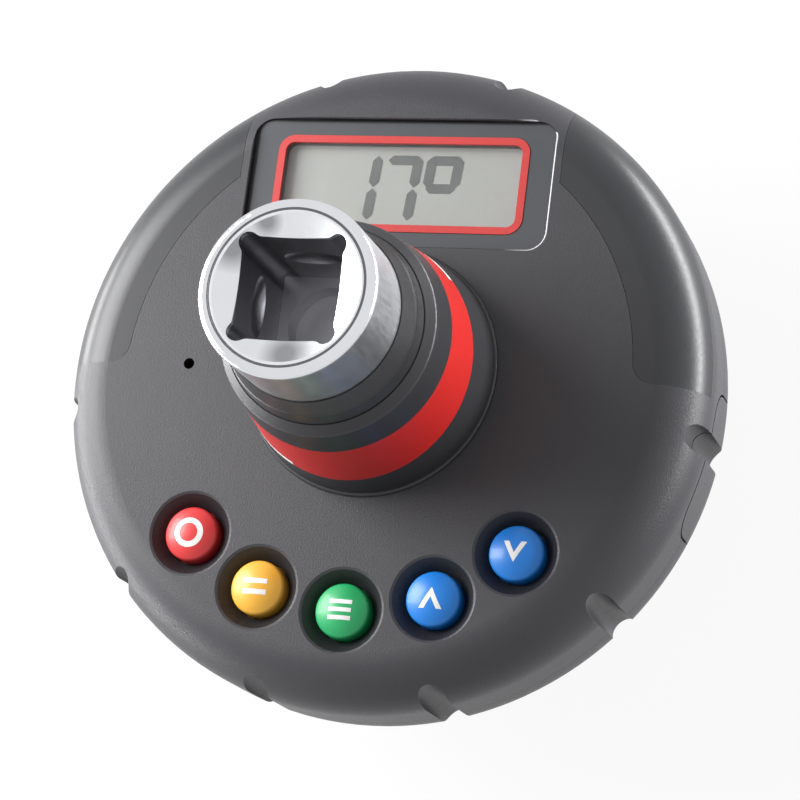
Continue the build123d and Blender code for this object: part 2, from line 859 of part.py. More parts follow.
with BuildPart() as display_lens:
    with BuildSketch(Plane.XY.offset(plate_top_z - lens_drop - lens_thickness)):
        with Locations((0, recess_centre_y)):
            RectangleRounded(
                frame_width - 2 * frame_line - 2 * seat_clearance,
                frame_height - 2 * frame_line - 2 * seat_clearance,
                frame_corner - frame_line,
            )
    extrude(amount=lens_thickness)
display_lens.part.label = "display_lens"
export_step(display_lens.part, "parts/display_lens.step")

with BuildPart() as lcd_glass:
    with BuildSketch(Plane.XY.offset(plate_low_z - lcd_thickness)):
        with Locations((0, recess_centre_y)):
            Rectangle(lcd_width, lcd_height)
    extrude(amount=lcd_thickness)
lcd_glass.part.label = "lcd_glass"
export_step(lcd_glass.part, "parts/lcd_glass.step")

lcd_low_z = plate_low_z - lcd_thickness
with BuildPart() as lcd_light_guide:
    with BuildSketch(Plane.XY.offset(board_top_z)):
        with Locations((0, recess_centre_y)):
            Rectangle(strip_width, backlight_height)
    extrude(amount=lcd_low_z - board_top_z)
lcd_light_guide.part.label = "lcd_light_guide"
export_step(lcd_light_guide.part, "parts/lcd_light_guide.step")

with BuildPart() as lcd_contact_strips:
    with BuildSketch(Plane.XY.offset(board_top_z)):
        with Locations((0, recess_centre_y)):
            with GridLocations(0, lcd_height - strip_depth - 2 * strip_inset, 1, 2):
                Rectangle(strip_width, strip_depth)
    extrude(amount=lcd_low_z - board_top_z)
lcd_contact_strips.part.label = "lcd_contact_strips"
export_step(lcd_contact_strips.part, "parts/lcd_contact_strips.step")

# Buttons, each on the plunger of its switch
for name, angle in zip(button_names, button_angles):
    spot = polar(button_circle_radius, angle)
    crown_z = top_z + button_crown_rise
    edge_z = top_z - button_edge_drop
    crown_radius = (button_radius**2 + (crown_z - edge_z) ** 2) / (2 * (crown_z - edge_z))
    half_angle = asin(button_radius / crown_radius) / 2
    with BuildPart() as button:
        with BuildSketch(Plane(origin=spot, x_dir=(1, 0, 0), z_dir=(0, -1, 0))):
            with BuildLine():
                Polyline(
                    (0, crown_z),
                    (0, button_low_z),
                    (button_radius + button_flange, button_low_z),
                    (button_radius + button_flange, button_low_z + button_flange_thickness),
                    (button_radius, button_low_z + button_flange_thickness),
                    (button_radius, edge_z),
                )
                ThreePointArc(
                    (button_radius, edge_z),
                    (crown_radius * sin(half_angle), crown_z - crown_radius * (1 - cos(half_angle))),
                    (0, crown_z),
                )
            make_face()
        revolve(axis=Axis(spot, (0, 0, 1)))
        rims = button.edges().filter_by(GeomType.CIRCLE)
        rims = rims.filter_by(lambda edge: edge.radius < button_radius + button_flange / 2)
        fillet(rims.group_by(Axis.Z)[-1], button_edge_fillet)
    button.part.label = f"{name}_button"
    export_step(button.part, f"parts/{name}_button.step")

    with BuildPart() as plunger:
        with BuildSketch(Plane.XY.offset(board_top_z + switch_height - plunger_engagement)):
            with Locations(spot):
                Circle(plunger_radius)
        extrude(amount=button_low_z - board_top_z - switch_height + plunger_engagement)
    plunger.part.label = f"{name}_plunger"
    export_step(plunger.part, f"parts/{name}_plunger.step")

with BuildPart() as switch_bases:
    with BuildSketch(Plane.XY.offset(board_top_z)):
        for angle in button_angles:
            with Locations(Location(polar(button_circle_radius, angle), angle)):
                Rectangle(switch_side, switch_side)
                Circle(plunger_radius + seat_clearance, mode=Mode.SUBTRACT)
    extrude(amount=switch_height)
switch_bases.part.label = "switch_bases"
export_step(switch_bases.part, "parts/switch_bases.step")

# Main board with its chips, buzzer and signal lights
with BuildPart() as main_board:
    with BuildSketch(Plane.XY.offset(board_low_z)):
        Circle(board_radius)
        Circle(board_bore_radius, mode=Mode.SUBTRACT)
        slot_length = 2 * (board_radius - screw_circle_radius) + board_boss_slot
        for angle in screw_angles:
            with Locations(Location(polar(screw_circle_radius, angle), angle)):
                Rectangle(slot_length, board_boss_slot, mode=Mode.SUBTRACT)
        with Locations(*standoff_places):
            Circle(board_screw_radius + seat_clearance, mode=Mode.SUBTRACT)
    extrude(amount=board_thickness)
main_board.part.label = "main_board"
export_step(main_board.part, "parts/main_board.step")

for name, place, side, height in (
    ("processor_chip", processor_place, processor_side, processor_height),
    ("amplifier_chip", amplifier_place, amplifier_side, amplifier_height),
    ("gyro_chip", gyro_place, gyro_side, gyro_height),
):
    with BuildPart() as chip:
        with BuildSketch(Plane.XY.offset(board_top_z)):
            with Locations(place):
                Rectangle(side, side)
        extrude(amount=height)
    chip.part.label = name
    export_step(chip.part, f"parts/{name}.step")

with BuildPart() as buzzer:
    with BuildSketch(Plane.XY.offset(board_top_z)):
        with Locations((buzzer_x, 0)):
            Circle(buzzer_radius)
    extrude(amount=buzzer_height)
    with BuildSketch(Plane.XY.offset(board_top_z + buzzer_height)):
        with Locations((buzzer_x, 0)):
            Circle(buzzer_hole_radius)
    extrude(amount=-buzzer_height / 2, mode=Mode.SUBTRACT)
buzzer.part.label = "buzzer"
export_step(buzzer.part, "parts/buzzer.step")

with BuildPart() as signal_leds:
    with BuildSketch(Plane.XY.offset(board_top_z)):
        for angle in led_angles:
            with Locations(Location(polar(led_circle_radius, angle), angle)):
                Rectangle(led_width, led_length)
    extrude(amount=led_height)
signal_leds.part.label = "signal_leds"
export_step(signal_leds.part, "parts/signal_leds.step")

with BuildPart() as board_screws:
    with BuildSketch(Plane.XY.offset(board_low_z - board_screw_head_height)):
        with Locations(*standoff_places):
            Circle(board_screw_head_radius)
    extrude(amount=board_screw_head_height)
    with BuildSketch(Plane.XY.offset(board_low_z)):
        with Locations(*standoff_places):
            Circle(board_screw_radius)
    extrude(amount=board_thickness + board_screw_bite)
board_screws.part.label = "board_screws"
export_step(board_screws.part, "parts/board_screws.step")

# Strain gauges on the waist, and the flexible lead from them to the board
gauge_top_z = top_z - gauge_drop
with BuildPart() as strain_gauges:
    with BuildSketch(Plane.XY.offset(gauge_top_z - gauge_height)):
        for angle in gauge_angles:
            add(
                sector(
                    waist_radius,
                    waist_radius + gauge_thickness,
                    angle - gauge_half_angle,
                    angle + gauge_half_angle,
                )
            )
    extrude(amount=gauge_height)
strain_gauges.part.label = "strain_gauges"
export_step(strain_gauges.part, "parts/strain_gauges.step")

with BuildPart() as gauge_flex:
    flex_x = -(waist_radius + gauge_thickness)
    flex_end_x = -(board_bore_radius + flex_tail)
    with BuildSketch(Plane.XZ):
        Polygon(
            (flex_x, gauge_top_z - gauge_height / 2),
            (flex_x, board_top_z + flex_thickness),
            (flex_end_x, board_top_z + flex_thickness),
            (flex_end_x, board_top_z),
            (flex_x - flex_thickness, board_top_z),
            (flex_x - flex_thickness, gauge_top_z - gauge_height / 2),
            align=None,
        )
    extrude(amount=flex_width / 2, both=True)
gauge_flex.part.label = "gauge_flex"
export_step(gauge_flex.part, "parts/gauge_flex.step")

# Two cells side by side under a tray, nub ends opposite ways
for name, row, way in (("inner_cell", 0, 1), ("outer_cell", 1, -1)):
    along = cell_inner_row + row * cell_row_pitch
    nub_end = way * (bay_end - contact_thickness)
    shoulder = nub_end - way * cell_nub_height
    with BuildPart() as cell:
        with BuildSketch(Plane(origin=bay_point(along, shoulder, cell_z), z_dir=bay_y * -way)):
            Circle(cell_radius)
        extrude(amount=cell_body_length)
        with BuildSketch(Plane(origin=bay_point(along, shoulder, cell_z), z_dir=bay_y * way)):
            Circle(cell_nub_radius)
        extrude(amount=cell_nub_height)
    cell.part.label = name
    export_step(cell.part, f"parts/{name}.step")

contact_low_z = floor_z + contact_low_rise
tray_ceiling_z = cell_z + cell_radius + tray_ceiling_gap
tray_low_z = floor_z + ledge_thickness
tray_inner = cell_inner_row - cell_radius - tray_side_gap - tray_wall
tray_outer = cell_inner_row + cell_row_pitch + cell_radius + tray_side_gap + tray_wall
with BuildPart() as battery_tray:
    with BuildSketch(bay.offset(tray_low_z)):
        with Locations(((tray_inner + tray_outer) / 2, 0)):
            Rectangle(tray_outer - tray_inner, 2 * (bay_end + tray_wall))
    extrude(amount=tray_ceiling_z + tray_ceiling - tray_low_z)
    with BuildSketch(bay.offset(tray_low_z)):
        with Locations(((tray_inner + tray_outer) / 2, 0)):
            Rectangle(tray_outer - tray_inner - 2 * tray_wall, 2 * bay_end)
    extrude(amount=tray_ceiling_z - tray_low_z, mode=Mode.SUBTRACT)
    with BuildSketch(Plane.XY.offset(tray_low_z)):
        Circle(pilot_radius + ring_reach + joint_gap)
    extrude(amount=pilot_top_z + waist_blend - tray_low_z, mode=Mode.SUBTRACT)
    with BuildSketch(bay.offset(tray_ceiling_z)):
        with Locations((cell_inner_row + cell_row_pitch / 2, 0)):
            with GridLocations(cell_row_pitch, 2 * bay_end - contact_thickness, 2, 2):
                Rectangle(contact_tab_width + 2 * seat_clearance, contact_thickness + 2 * seat_clearance)
    extrude(amount=tray_ceiling, mode=Mode.SUBTRACT)
    add(disc_form(grow=-wall - seat_clearance), mode=Mode.INTERSECT)
    with BuildSketch(Plane.XY.offset(tray_low_z)):
        Circle(lip_inner_radius - 2 * seat_clearance)
    extrude(amount=tray_ceiling_z + tray_ceiling - tray_low_z, mode=Mode.INTERSECT)
battery_tray.part.label = "battery_tray"
export_step(battery_tray.part, "parts/battery_tray.step")

with BuildPart() as battery_contacts:
    with BuildSketch(bay.offset(contact_low_z)):
        with Locations((cell_inner_row + cell_row_pitch / 2, 0)):
            with GridLocations(cell_row_pitch, 2 * bay_end - contact_thickness, 2, 2):
                Rectangle(contact_width, contact_thickness)
    extrude(amount=tray_ceiling_z - contact_low_z)
    with BuildSketch(bay.offset(tray_ceiling_z)):
        with Locations((cell_inner_row + cell_row_pitch / 2, 0)):
            with GridLocations(cell_row_pitch, 2 * bay_end - contact_thickness, 2, 2):
                Rectangle(contact_tab_width, contact_thickness)
    extrude(amount=board_low_z - tray_ceiling_z)
    add(disc_form(grow=-wall - seat_clearance), mode=Mode.INTERSECT)
battery_contacts.part.label = "battery_contacts"
export_step(battery_contacts.part, "parts/battery_contacts.step")

spring_room = 2 * (bay_end - contact_thickness) - cell_nub_height - cell_body_length
for name, row, way in (("inner_cell_spring", 0, -1), ("outer_cell_spring", 1, 1)):
    along = cell_inner_row + row * cell_row_pitch
    seat = way * (bay_end - contact_thickness - cell_spring_wire)
    with BuildPart() as cell_spring:
        with BuildLine() as turns:
            Helix(
                pitch=cell_spring_pitch,
                height=spring_room - 2 * cell_spring_wire,
                radius=cell_spring_radius,
                center=bay_point(along, seat, cell_z),
                direction=bay_y * -way,
            )
        with BuildSketch(Plane(origin=turns.line @ 0, z_dir=turns.line % 0)):
            Circle(cell_spring_wire)
        sweep(is_frenet=True)
    cell_spring.part.label = name
    export_step(cell_spring.part, f"parts/{name}.step")

# Screws that hold the two shells together from below
with BuildPart() as housing_screws:
    head_top_z = parting_z - screw_head_drop
    with BuildSketch(Plane.XY.offset(head_top_z - screw_head_height)):
        for angle in screw_angles:
            with Locations(polar(screw_circle_radius, angle)):
                Circle(screw_head_radius)
                RegularPolygon(screw_socket_radius, 6, mode=Mode.SUBTRACT)
    extrude(amount=screw_socket_depth)
    with BuildSketch(Plane.XY.offset(head_top_z - screw_head_height + screw_socket_depth)):
        for angle in screw_angles:
            with Locations(polar(screw_circle_radius, angle)):
                Circle(screw_head_radius)
    extrude(amount=screw_head_height - screw_socket_depth)
    with BuildSketch(Plane.XY.offset(head_top_z)):
        for angle in screw_angles:
            with Locations(polar(screw_circle_radius, angle)):
                Circle(screw_radius)
    extrude(amount=screw_head_drop + screw_bite)
housing_screws.part.label = "housing_screws"
export_step(housing_screws.part, "parts/housing_screws.step")
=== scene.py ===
import math

import bmesh
import bpy
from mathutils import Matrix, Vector


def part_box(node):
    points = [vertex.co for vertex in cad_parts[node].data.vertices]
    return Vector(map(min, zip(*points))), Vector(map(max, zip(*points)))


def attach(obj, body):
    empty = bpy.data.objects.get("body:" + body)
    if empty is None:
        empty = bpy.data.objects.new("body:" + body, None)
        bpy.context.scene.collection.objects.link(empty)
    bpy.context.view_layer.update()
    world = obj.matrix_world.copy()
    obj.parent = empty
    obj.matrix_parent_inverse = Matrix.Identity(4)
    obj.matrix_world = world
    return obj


bl_info = {
    "name": "Digital torque tester",
    "version": (1, 0, 0),
    "blender": (4, 5, 0),
    "location": "3D View > Sidebar > Torque Tester",
    "description": "Finishes the torque tester's parts and sets it on a plain stage",
    "category": "Object",
}

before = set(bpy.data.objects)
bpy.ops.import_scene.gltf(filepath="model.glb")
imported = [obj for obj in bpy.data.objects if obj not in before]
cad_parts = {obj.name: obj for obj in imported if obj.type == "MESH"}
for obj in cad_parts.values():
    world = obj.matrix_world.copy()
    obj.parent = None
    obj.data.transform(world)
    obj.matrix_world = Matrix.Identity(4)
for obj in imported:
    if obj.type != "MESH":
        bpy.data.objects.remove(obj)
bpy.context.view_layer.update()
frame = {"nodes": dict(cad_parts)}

MM = 0.001
BUTTON_BODIES = ("red_key", "amber_key", "green_key", "blue_left_key", "blue_right_key")
MIDDLE_BUTTON = 2
BUTTON_STEP = math.radians(21.9)
FRONT = math.radians(270)
WELD = 1e-7

# Noise scales, in repeats per metre of the object's own coordinates.
CLOUD_SCALE = 55.0
WAVE_SCALE = 160.0
TARNISH_SCALE = 90.0
HAZE_SCALE = 400.0
SCRATCH_SCALE = 1700.0
TURNING_SCALE = 6000.0

# Segments shown in each place of the display: b and c are on the right, a on top, g in the middle
# and f on the left.
SHOWN_SEGMENTS = ("bc", "abc", "abgf")

# Centre across and along, and reach, in millimetres, of each painted dark reflection on the countersink.
DARK_REFLECTIONS = ((-7.6, 4.9, 3.4), (-3.6, 8.2, 2.2), (0.9, -8.2, 3.4))

# Name, place, point aimed at, size and power setting of each lamp, in metres.
LAMPS = (
    ("key_lamp", (-0.24, 0.06, 0.2), (-0.01, 0, 0.04), (0.2, 0.2), "key_power"),
    ("right_strip", (0.27, 0.15, 0.022), (0.03, 0.01, 0.024), (0.4, 0.038), "right_power"),
    ("left_strip", (-0.3, -0.03, 0.022), (-0.03, 0, 0.024), (0.4, 0.038), "left_power"),
)
FLOOR_GAP = 0.2 * MM
FLOOR_WHITE = 0.86
FLOOR_GLOW = 0.9


def tone(red, green, blue):
    """Scene-linear colour of a display colour given from 0 to 255."""
    return tuple(
        value / 255 / 12.92 if value <= 10 else ((value / 255 + 0.055) / 1.055) ** 2.4
        for value in (red, green, blue)
    )


def colour_setting(label, note, red, green, blue):
    """Colour property with its default."""
    return bpy.props.FloatVectorProperty(
        name=label,
        description=note,
        subtype="COLOR",
        size=3,
        min=0,
        max=1,
        default=tone(red, green, blue),
    )


def length_setting(label, note, millimetres):
    """Length property with its default, given in millimetres."""
    return bpy.props.FloatProperty(
        name=label,
        description=note,
        subtype="DISTANCE",
        unit="LENGTH",
        min=0,
        precision=5,
        default=millimetres * MM,
    )


def power_setting(label, note, watts):
    """Power property with its default."""
    return bpy.props.FloatProperty(name=label, description=note, unit="POWER", default=watts, min=0)


class TesterColours(bpy.types.PropertyGroup):
    """Colours of the tester's plastics, rubber and metal, and of its painted shade, highlights and
    reflections.
    """

    housing: colour_setting("Housing", "Dark grey of the moulded shells", 58, 58, 62)
    window: colour_setting("Light windows", "Smoked plastic of the light windows", 45, 46, 49)
    collar: colour_setting("Neck collar", "Dark grey of the neck collar", 46, 46, 49)
    band: colour_setting("Neck band", "Red of the band round the neck", 186, 34, 30)
    trim: colour_setting("Band trim", "White edge of the band", 232, 230, 228)
    seal: colour_setting("Neck seal", "Black rubber of the lip seal", 30, 30, 33)
    chrome: colour_setting("Chrome", "Plated steel of the drive shaft", 222, 224, 228)
    bezel: colour_setting("Bezel", "Grey plate round the display", 70, 72, 76)
    frame: colour_setting("Display frame", "Red line round the display", 194, 56, 54)
    panel: colour_setting("Display panel", "Grey-green of the resting display", 150, 153, 148)
    digit: colour_setting("Display digits", "Dark grey of the shown segments", 44, 50, 48)
    red_button: colour_setting("Red button", "Colour of the first button", 212, 54, 56)
    amber_button: colour_setting("Amber button", "Colour of the second button", 236, 176, 60)
    green_button: colour_setting("Green button", "Colour of the third button", 30, 166, 98)
    blue_button: colour_setting("Blue buttons", "Colour of the two end buttons", 20, 124, 216)
    mark: colour_setting("Button marks", "White print on the buttons", 244, 244, 242)
    # Painted highlight: this light colour on the recess's lip stands in for the lamps' glint on its edge.
    recess_lip_highlight: colour_setting("Recess lip", "Light edge of the display's recess", 214, 214, 216)
    socket: colour_setting("Socket", "Satin steel of the socket's floor", 182, 182, 186)
    socket_cloud: colour_setting("Socket cloud", "Darker mottling of the socket's floor", 166, 166, 170)
    # Painted shade: the walls get a darker copy of the socket's steel, standing in for the shade inside the
    # square.
    wall: colour_setting("Socket wall", "Satin steel of the socket's walls", 146, 146, 150)
    wall_cloud: colour_setting("Wall cloud", "Darker mottling of the socket's walls", 122, 122, 126)
    # Painted highlight: the ball groove is lighter than the shaded walls, standing in for the light on its
    # curved face.
    groove: colour_setting("Ball groove", "Lighter steel of the ball groove", 186, 186, 189)
    # Painted shade: this dark ring on the top face stands in for the shade of a fine step round it.
    rim_shade_line: colour_setting("Rim line", "Thin line round the shaft's top face", 104, 104, 107)
    # Painted reflection: dull patches on the countersink stand in for dark things reflected in the chrome.
    dark_reflection: colour_setting("Dull patch", "Dull patches on the countersink", 112, 112, 116)


class DisplaySizes(bpy.types.PropertyGroup):
    """Sizes of the segments on the display."""

    segment_width: length_setting("Segment width", "Width of one segment", 1.35)
    digit_height: length_setting("Digit height", "Height of a digit", 9.2)
    digit_width: length_setting("Digit width", "Distance between a digit's upright segments", 3.75)
    digit_pitch: length_setting("Digit pitch", "Distance from one digit to the next", 5.65)
    digit_gap: length_setting("Segment gap", "Gap between two segments' tips", 0.22)
    first_stem: length_setting("First stem", "From the middle to the first digit's right stem", 4.05)
    middle_line: length_setting("Middle line", "Distance of the digits' middle from the drive axis", 25.95)
    slant: bpy.props.FloatProperty(name="Slant", description="Sideways lean per height", default=0.075)
    segment_thickness: length_setting("Segment thickness", "Height of a segment", 0.03)
    segment_lift: length_setting("Segment lift", "Gap between the panel and the segments", 0.01)


class FinishSizes(bpy.types.PropertyGroup):
    """Where the shells and the display's plate get their seam line, painted shade and painted highlight."""

    seam_width: length_setting("Seam width", "Height of the line between the two shells", 0.3)
    face_radius: length_setting("Face radius", "Radius inside which the upper shell is flat", 37.1)
    shade_depth: length_setting("Shade depth", "Depth from which the wells and the recess are darker", 0.22)
    # The lip sizes place the painted highlight on the recess's right edge, lightest towards the right.
    lip_depth: length_setting("Lip depth", "Depth to which the recess's light edge goes down", 0.4)
    lip_inset: length_setting("Lip inset", "How far the light edge starts inside the recess's corner", 0.05)
    lip_width: length_setting("Lip width", "Width of the recess's light edge", 0.2)
    lip_start: length_setting("Lip start", "How far right the light edge starts to show", 15.5)
    lip_full: length_setting("Lip full", "How far right the light edge is at its lightest", 20)
    recess_middle: length_setting("Recess middle", "Distance of the recess's middle from the axis", 26.05)
    recess_core_width: length_setting("Recess core width", "Half distance of corner centres across", 18.5)
    recess_core_height: length_setting("Recess core height", "Half distance of corner centres up", 6.4)
    recess_corner: length_setting("Recess corner", "Corner radius of the recess", 2.5)
    bezel_left: length_setting("Bezel left", "How far left the plate keeps its grey", 20.45)
    bezel_top: length_setting("Bezel top", "How far up the plate keeps its grey", 34.6)
    bezel_blur: length_setting("Bezel blur", "Half width of the change to the shaded edge", 0.12)


class MarkSizes(bpy.types.PropertyGroup):
    """Sizes of the print on the buttons."""

    button_circle: length_setting("Button circle", "Radius of the arc that the buttons stand on", 31.74)
    crown_radius: length_setting("Crown radius", "Radius of a button's dome", 6.21)
    crown_top: length_setting("Crown top", "Height of a dome's top", 42.75)
    ring_radius: length_setting("Ring radius", "Radius of the ring's middle line", 1.6)
    ring_width: length_setting("Ring width", "Width of the ring's line", 0.72)
    pair_reach: length_setting("Pair reach", "Half length of the two bars", 1.6)
    pair_width: length_setting("Pair width", "Width of the two bars", 0.648)
    pair_step: length_setting("Pair step", "Distance of the two bars from the mark's middle", 0.72)
    triple_reach: length_setting("Triple reach", "Half length of the three bars", 1.52)
    triple_width: length_setting("Triple width", "Width of the three bars", 0.54)
    triple_step: length_setting("Triple step", "Distance from one of the three bars to the next", 1.044)
    arrow_reach: length_setting("Arrow reach", "Half width of an arrow", 1.52)
    arrow_height: length_setting("Arrow height", "Height of an arrow", 2.72)
    arrow_foot: length_setting("Arrow foot", "Width of an arrow's feet", 0.72)
    arrow_drop: length_setting("Arrow drop", "Distance of an arrow's inner point from its outer one", 1.224)
    print_lift: length_setting("Print lift", "Height of the print over the dome", 0.02)


class SocketSizes(bpy.types.PropertyGroup):
    """Where the finish of the shaft changes, and where its painted shade, highlight and reflections go,
    round the female square.
    """

    inner_reach: length_setting("Inner reach", "Radius that holds the whole socket", 10.8)
    mouth_height: length_setting("Mouth height", "Height where the countersink ends", 75.92)
    satin_start: length_setting("Satin start", "Height over which the socket is satin, under its floor", 57)
    # The painted shade on the socket's walls starts at this distance from the axis.
    wall_start: length_setting("Wall start", "Distance from the axis where the walls' finish starts", 6.4)
    square_side: length_setting("Square side", "Distance of the square's sides from the axis", 6.46)
    groove_reach: length_setting("Groove reach", "Half width of the ball groove on one side", 4.05)
    groove_low: length_setting("Groove low", "Height of the ball groove's lower edge", 66.2)
    groove_high: length_setting("Groove high", "Height of the ball groove's upper edge", 70.8)
    # No painted dark reflection lies over this height.
    rim_height: length_setting("Rim height", "Height of the flat rim over which no dull patch lies", 76.97)
    # Place of the painted shade line on the top face.
    line_radius: length_setting("Line radius", "Radius of the thin line on the rim", 9.86)
    line_width: length_setting("Line width", "Width of the thin line on the rim", 0.34)
    side_radius: length_setting("Side radius", "Radius from which the finish is that of the side", 11.26)
    # Painted shade: the front of the chrome side is darkened between these distances.
    front_shade_start: length_setting("Front start", "How far in front of the axis the side turns darker", 2.5)
    front_shade_end: length_setting("Front end", "How far in front of the axis the side is darkest", 5.5)


class StudioSettings(bpy.types.PropertyGroup):
    """Camera, lamps and floor."""

    camera_place: bpy.props.FloatVectorProperty(
        name="Camera place",
        description="Where the camera stands",
        subtype="TRANSLATION",
        size=3,
        precision=5,
        default=(0.11801, -0.09652, 0.38252),
    )
    camera_turn: bpy.props.FloatVectorProperty(
        name="Camera turn",
        description="Turn of the camera about X, Y and Z",
        subtype="EULER",
        size=3,
        precision=6,
        default=(math.radians(16.7031), math.radians(16.5066), math.radians(7.3597)),
    )
    lens: bpy.props.FloatProperty(
        name="Lens", description="Focal length in millimetres", default=129.381, min=1
    )
    key_power: power_setting("Key power", "Power of the large lamp on the left", 1.65)
    right_power: power_setting("Right power", "Power of the low strip lamp on the right", 2.0)
    left_power: power_setting("Left power", "Power of the low strip lamp on the left", 1.25)
    room_strength: bpy.props.FloatProperty(
        name="Room light", description="Brightness of the plain room light", default=0.38, min=0
    )
    floor_size: length_setting("Floor size", "Width of the floor", 4000)


def colours():
    """Colour settings of the scene."""
    return bpy.context.scene.tester_colours


def node_tree(material):
    """Empty node tree of a material with its output."""
    material.use_nodes = True
    tree = material.node_tree
    tree.nodes.clear()
    return tree, tree.nodes.new("ShaderNodeOutputMaterial")


def new_material(name):
    """New material, its node tree, its shader and the object's own coordinates."""
    material = bpy.data.materials.new(name)
    tree, output = node_tree(material)
    shader = tree.nodes.new("ShaderNodeBsdfPrincipled")
    tree.links.new(shader.outputs["BSDF"], output.inputs["Surface"])
    return material, tree, shader, tree.nodes.new("ShaderNodeTexCoord").outputs["Object"]


def noise(tree, coordinates, scale, detail=3.0, roughness=0.55, stretch=None):
    """Noise over the object's own coordinates, stretched along an axis where that is asked for."""
    texture = tree.nodes.new("ShaderNodeTexNoise")
    texture.inputs["Scale"].default_value = scale
    texture.inputs["Detail"].default_value = detail
    texture.inputs["Roughness"].default_value = roughness
    if stretch:
        mapping = tree.nodes.new("ShaderNodeMapping")
        mapping.inputs["Scale"].default_value = stretch
        tree.links.new(coordinates, mapping.inputs["Vector"])
        coordinates = mapping.outputs["Vector"]
    tree.links.new(coordinates, texture.inputs["Vector"])
    return texture.outputs["Fac"]


def spread(tree, value, low, high, start=0.3, end=0.7):
    """Value spread from a narrow range to another one."""
    ranged = tree.nodes.new("ShaderNodeMapRange")
    ranged.inputs["From Min"].default_value = start
    ranged.inputs["From Max"].default_value = end
    ranged.inputs["To Min"].default_value = low
    ranged.inputs["To Max"].default_value = high
    tree.links.new(value, ranged.inputs["Value"])
    return ranged.outputs["Result"]


def blend_colours(tree, factor, first, second):
    """Mix of two colours, each a tuple or a socket."""
    mix = tree.nodes.new("ShaderNodeMix")
    mix.data_type = "RGBA"
    tree.links.new(factor, mix.inputs[0])
    # The colour sockets share their names with the number sockets, so they go by their places.
    for socket, value in ((mix.inputs[6], first), (mix.inputs[7], second)):
        if isinstance(value, bpy.types.NodeSocket):
            tree.links.new(value, socket)
        else:
            socket.default_value = (*value, 1)
    return mix.outputs[2]


def bumps(tree, layers):
    """Chain of bump nodes from (height, depth in metres) pairs."""
    normal = None
    for height, depth in layers:
        bump = tree.nodes.new("ShaderNodeBump")
        bump.inputs["Strength"].default_value = 1.0
        bump.inputs["Distance"].default_value = depth
        tree.links.new(height, bump.inputs["Height"])
        if normal:
            tree.links.new(normal, bump.inputs["Normal"])
        normal = bump.outputs["Normal"]
    return normal


def worked(tree, operation, first, second=0.0):
    """Result of one sum on two values, each a number or a socket."""
    node = tree.nodes.new("ShaderNodeMath")
    node.operation = operation
    for socket, value in zip(node.inputs, (first, second)):
        if isinstance(value, bpy.types.NodeSocket):
            tree.links.new(value, socket)
        else:
            socket.default_value = value
    return node.outputs[0]


def over(tree, value, low):
    """One where a value is greater than a limit."""
    return worked(tree, "GREATER_THAN", value, low)


def under(tree, value, high):
    """One where a value is less than a limit."""
    return worked(tree, "LESS_THAN", value, high)


def product(tree, first, *others):
    """Product of two or more values."""
    for value in others:
        first = worked(tree, "MULTIPLY", first, value)
    return first


def within(tree, value, low, high):
    """One where a value lies between two limits."""
    return product(tree, over(tree, value, low), under(tree, value, high))


def flat_distance(tree, x, y):
    """Length of a vector given by two values."""
    return worked(tree, "SQRT", worked(tree, "ADD", product(tree, x, x), product(tree, y, y)))


def scaled(colour, factor):
    """Colour made darker or lighter."""
    return tuple(min(1.0, value * factor) for value in colour)


def moulded(
    name,
    colour,
    roughness,
    grain,
    depth,
    mottle=0.12,
    coat=0.0,
    gloss_spread=0.06,
    wave=0.0,
    sheen=0.5,
):
    """Moulded plastic or rubber, with its grain's size and depth and its wave's height in millimetres."""
    material, tree, shader, place = new_material(name)
    grain_scale = 1 / (grain * MM)
    speckle = noise(tree, place, grain_scale, detail=4.0, roughness=0.6)
    cloud = spread(tree, noise(tree, place, CLOUD_SCALE, detail=4.0, roughness=0.6), 0.0, 1.0)
    fleck = noise(tree, place, 0.45 * grain_scale, detail=2.0, roughness=0.5)
    base = blend_colours(tree, cloud, scaled(colour, 1 - mottle), scaled(colour, 1 + mottle))
    tinted = blend_colours(tree, spread(tree, fleck, 0.0, 0.35), base, scaled(colour, 1 - 2 * mottle))
    tree.links.new(tinted, shader.inputs["Base Color"])
    shine = spread(tree, speckle, max(0.03, roughness - gloss_spread), min(1.0, roughness + gloss_spread))
    tree.links.new(shine, shader.inputs["Roughness"])
    layers = [(speckle, depth * MM)]
    if wave:
        layers.insert(0, (noise(tree, place, WAVE_SCALE, detail=1.0, roughness=0.4), wave * MM))
    tree.links.new(bumps(tree, layers), shader.inputs["Normal"])
    shader.inputs["Specular IOR Level"].default_value = sheen
    shader.inputs["Coat Weight"].default_value = coat
    shader.inputs["Coat Roughness"].default_value = 0.06
    return material


def metal(
    name, colour, roughness, scratch, depth, stretch=(1, 1, 1), gloss_spread=0.04, tarnish=0.08
):
    """Metal with scratches along its working direction, their size and depth in millimetres."""
    material, tree, shader, place = new_material(name)
    marks = noise(tree, place, 1 / (scratch * MM), detail=5.0, roughness=0.65, stretch=stretch)
    cloud = spread(tree, noise(tree, place, TARNISH_SCALE, detail=4.0, roughness=0.6), 0.0, 1.0)
    base = blend_colours(tree, cloud, colour, scaled(colour, 1 - tarnish))
    tree.links.new(base, shader.inputs["Base Color"])
    shader.inputs["Metallic"].default_value = 1.0
    shine = spread(tree, marks, max(0.02, roughness - gloss_spread), roughness + gloss_spread)
    tree.links.new(shine, shader.inputs["Roughness"])
    tree.links.new(bumps(tree, [(marks, depth * MM)]), shader.inputs["Normal"])
    return material


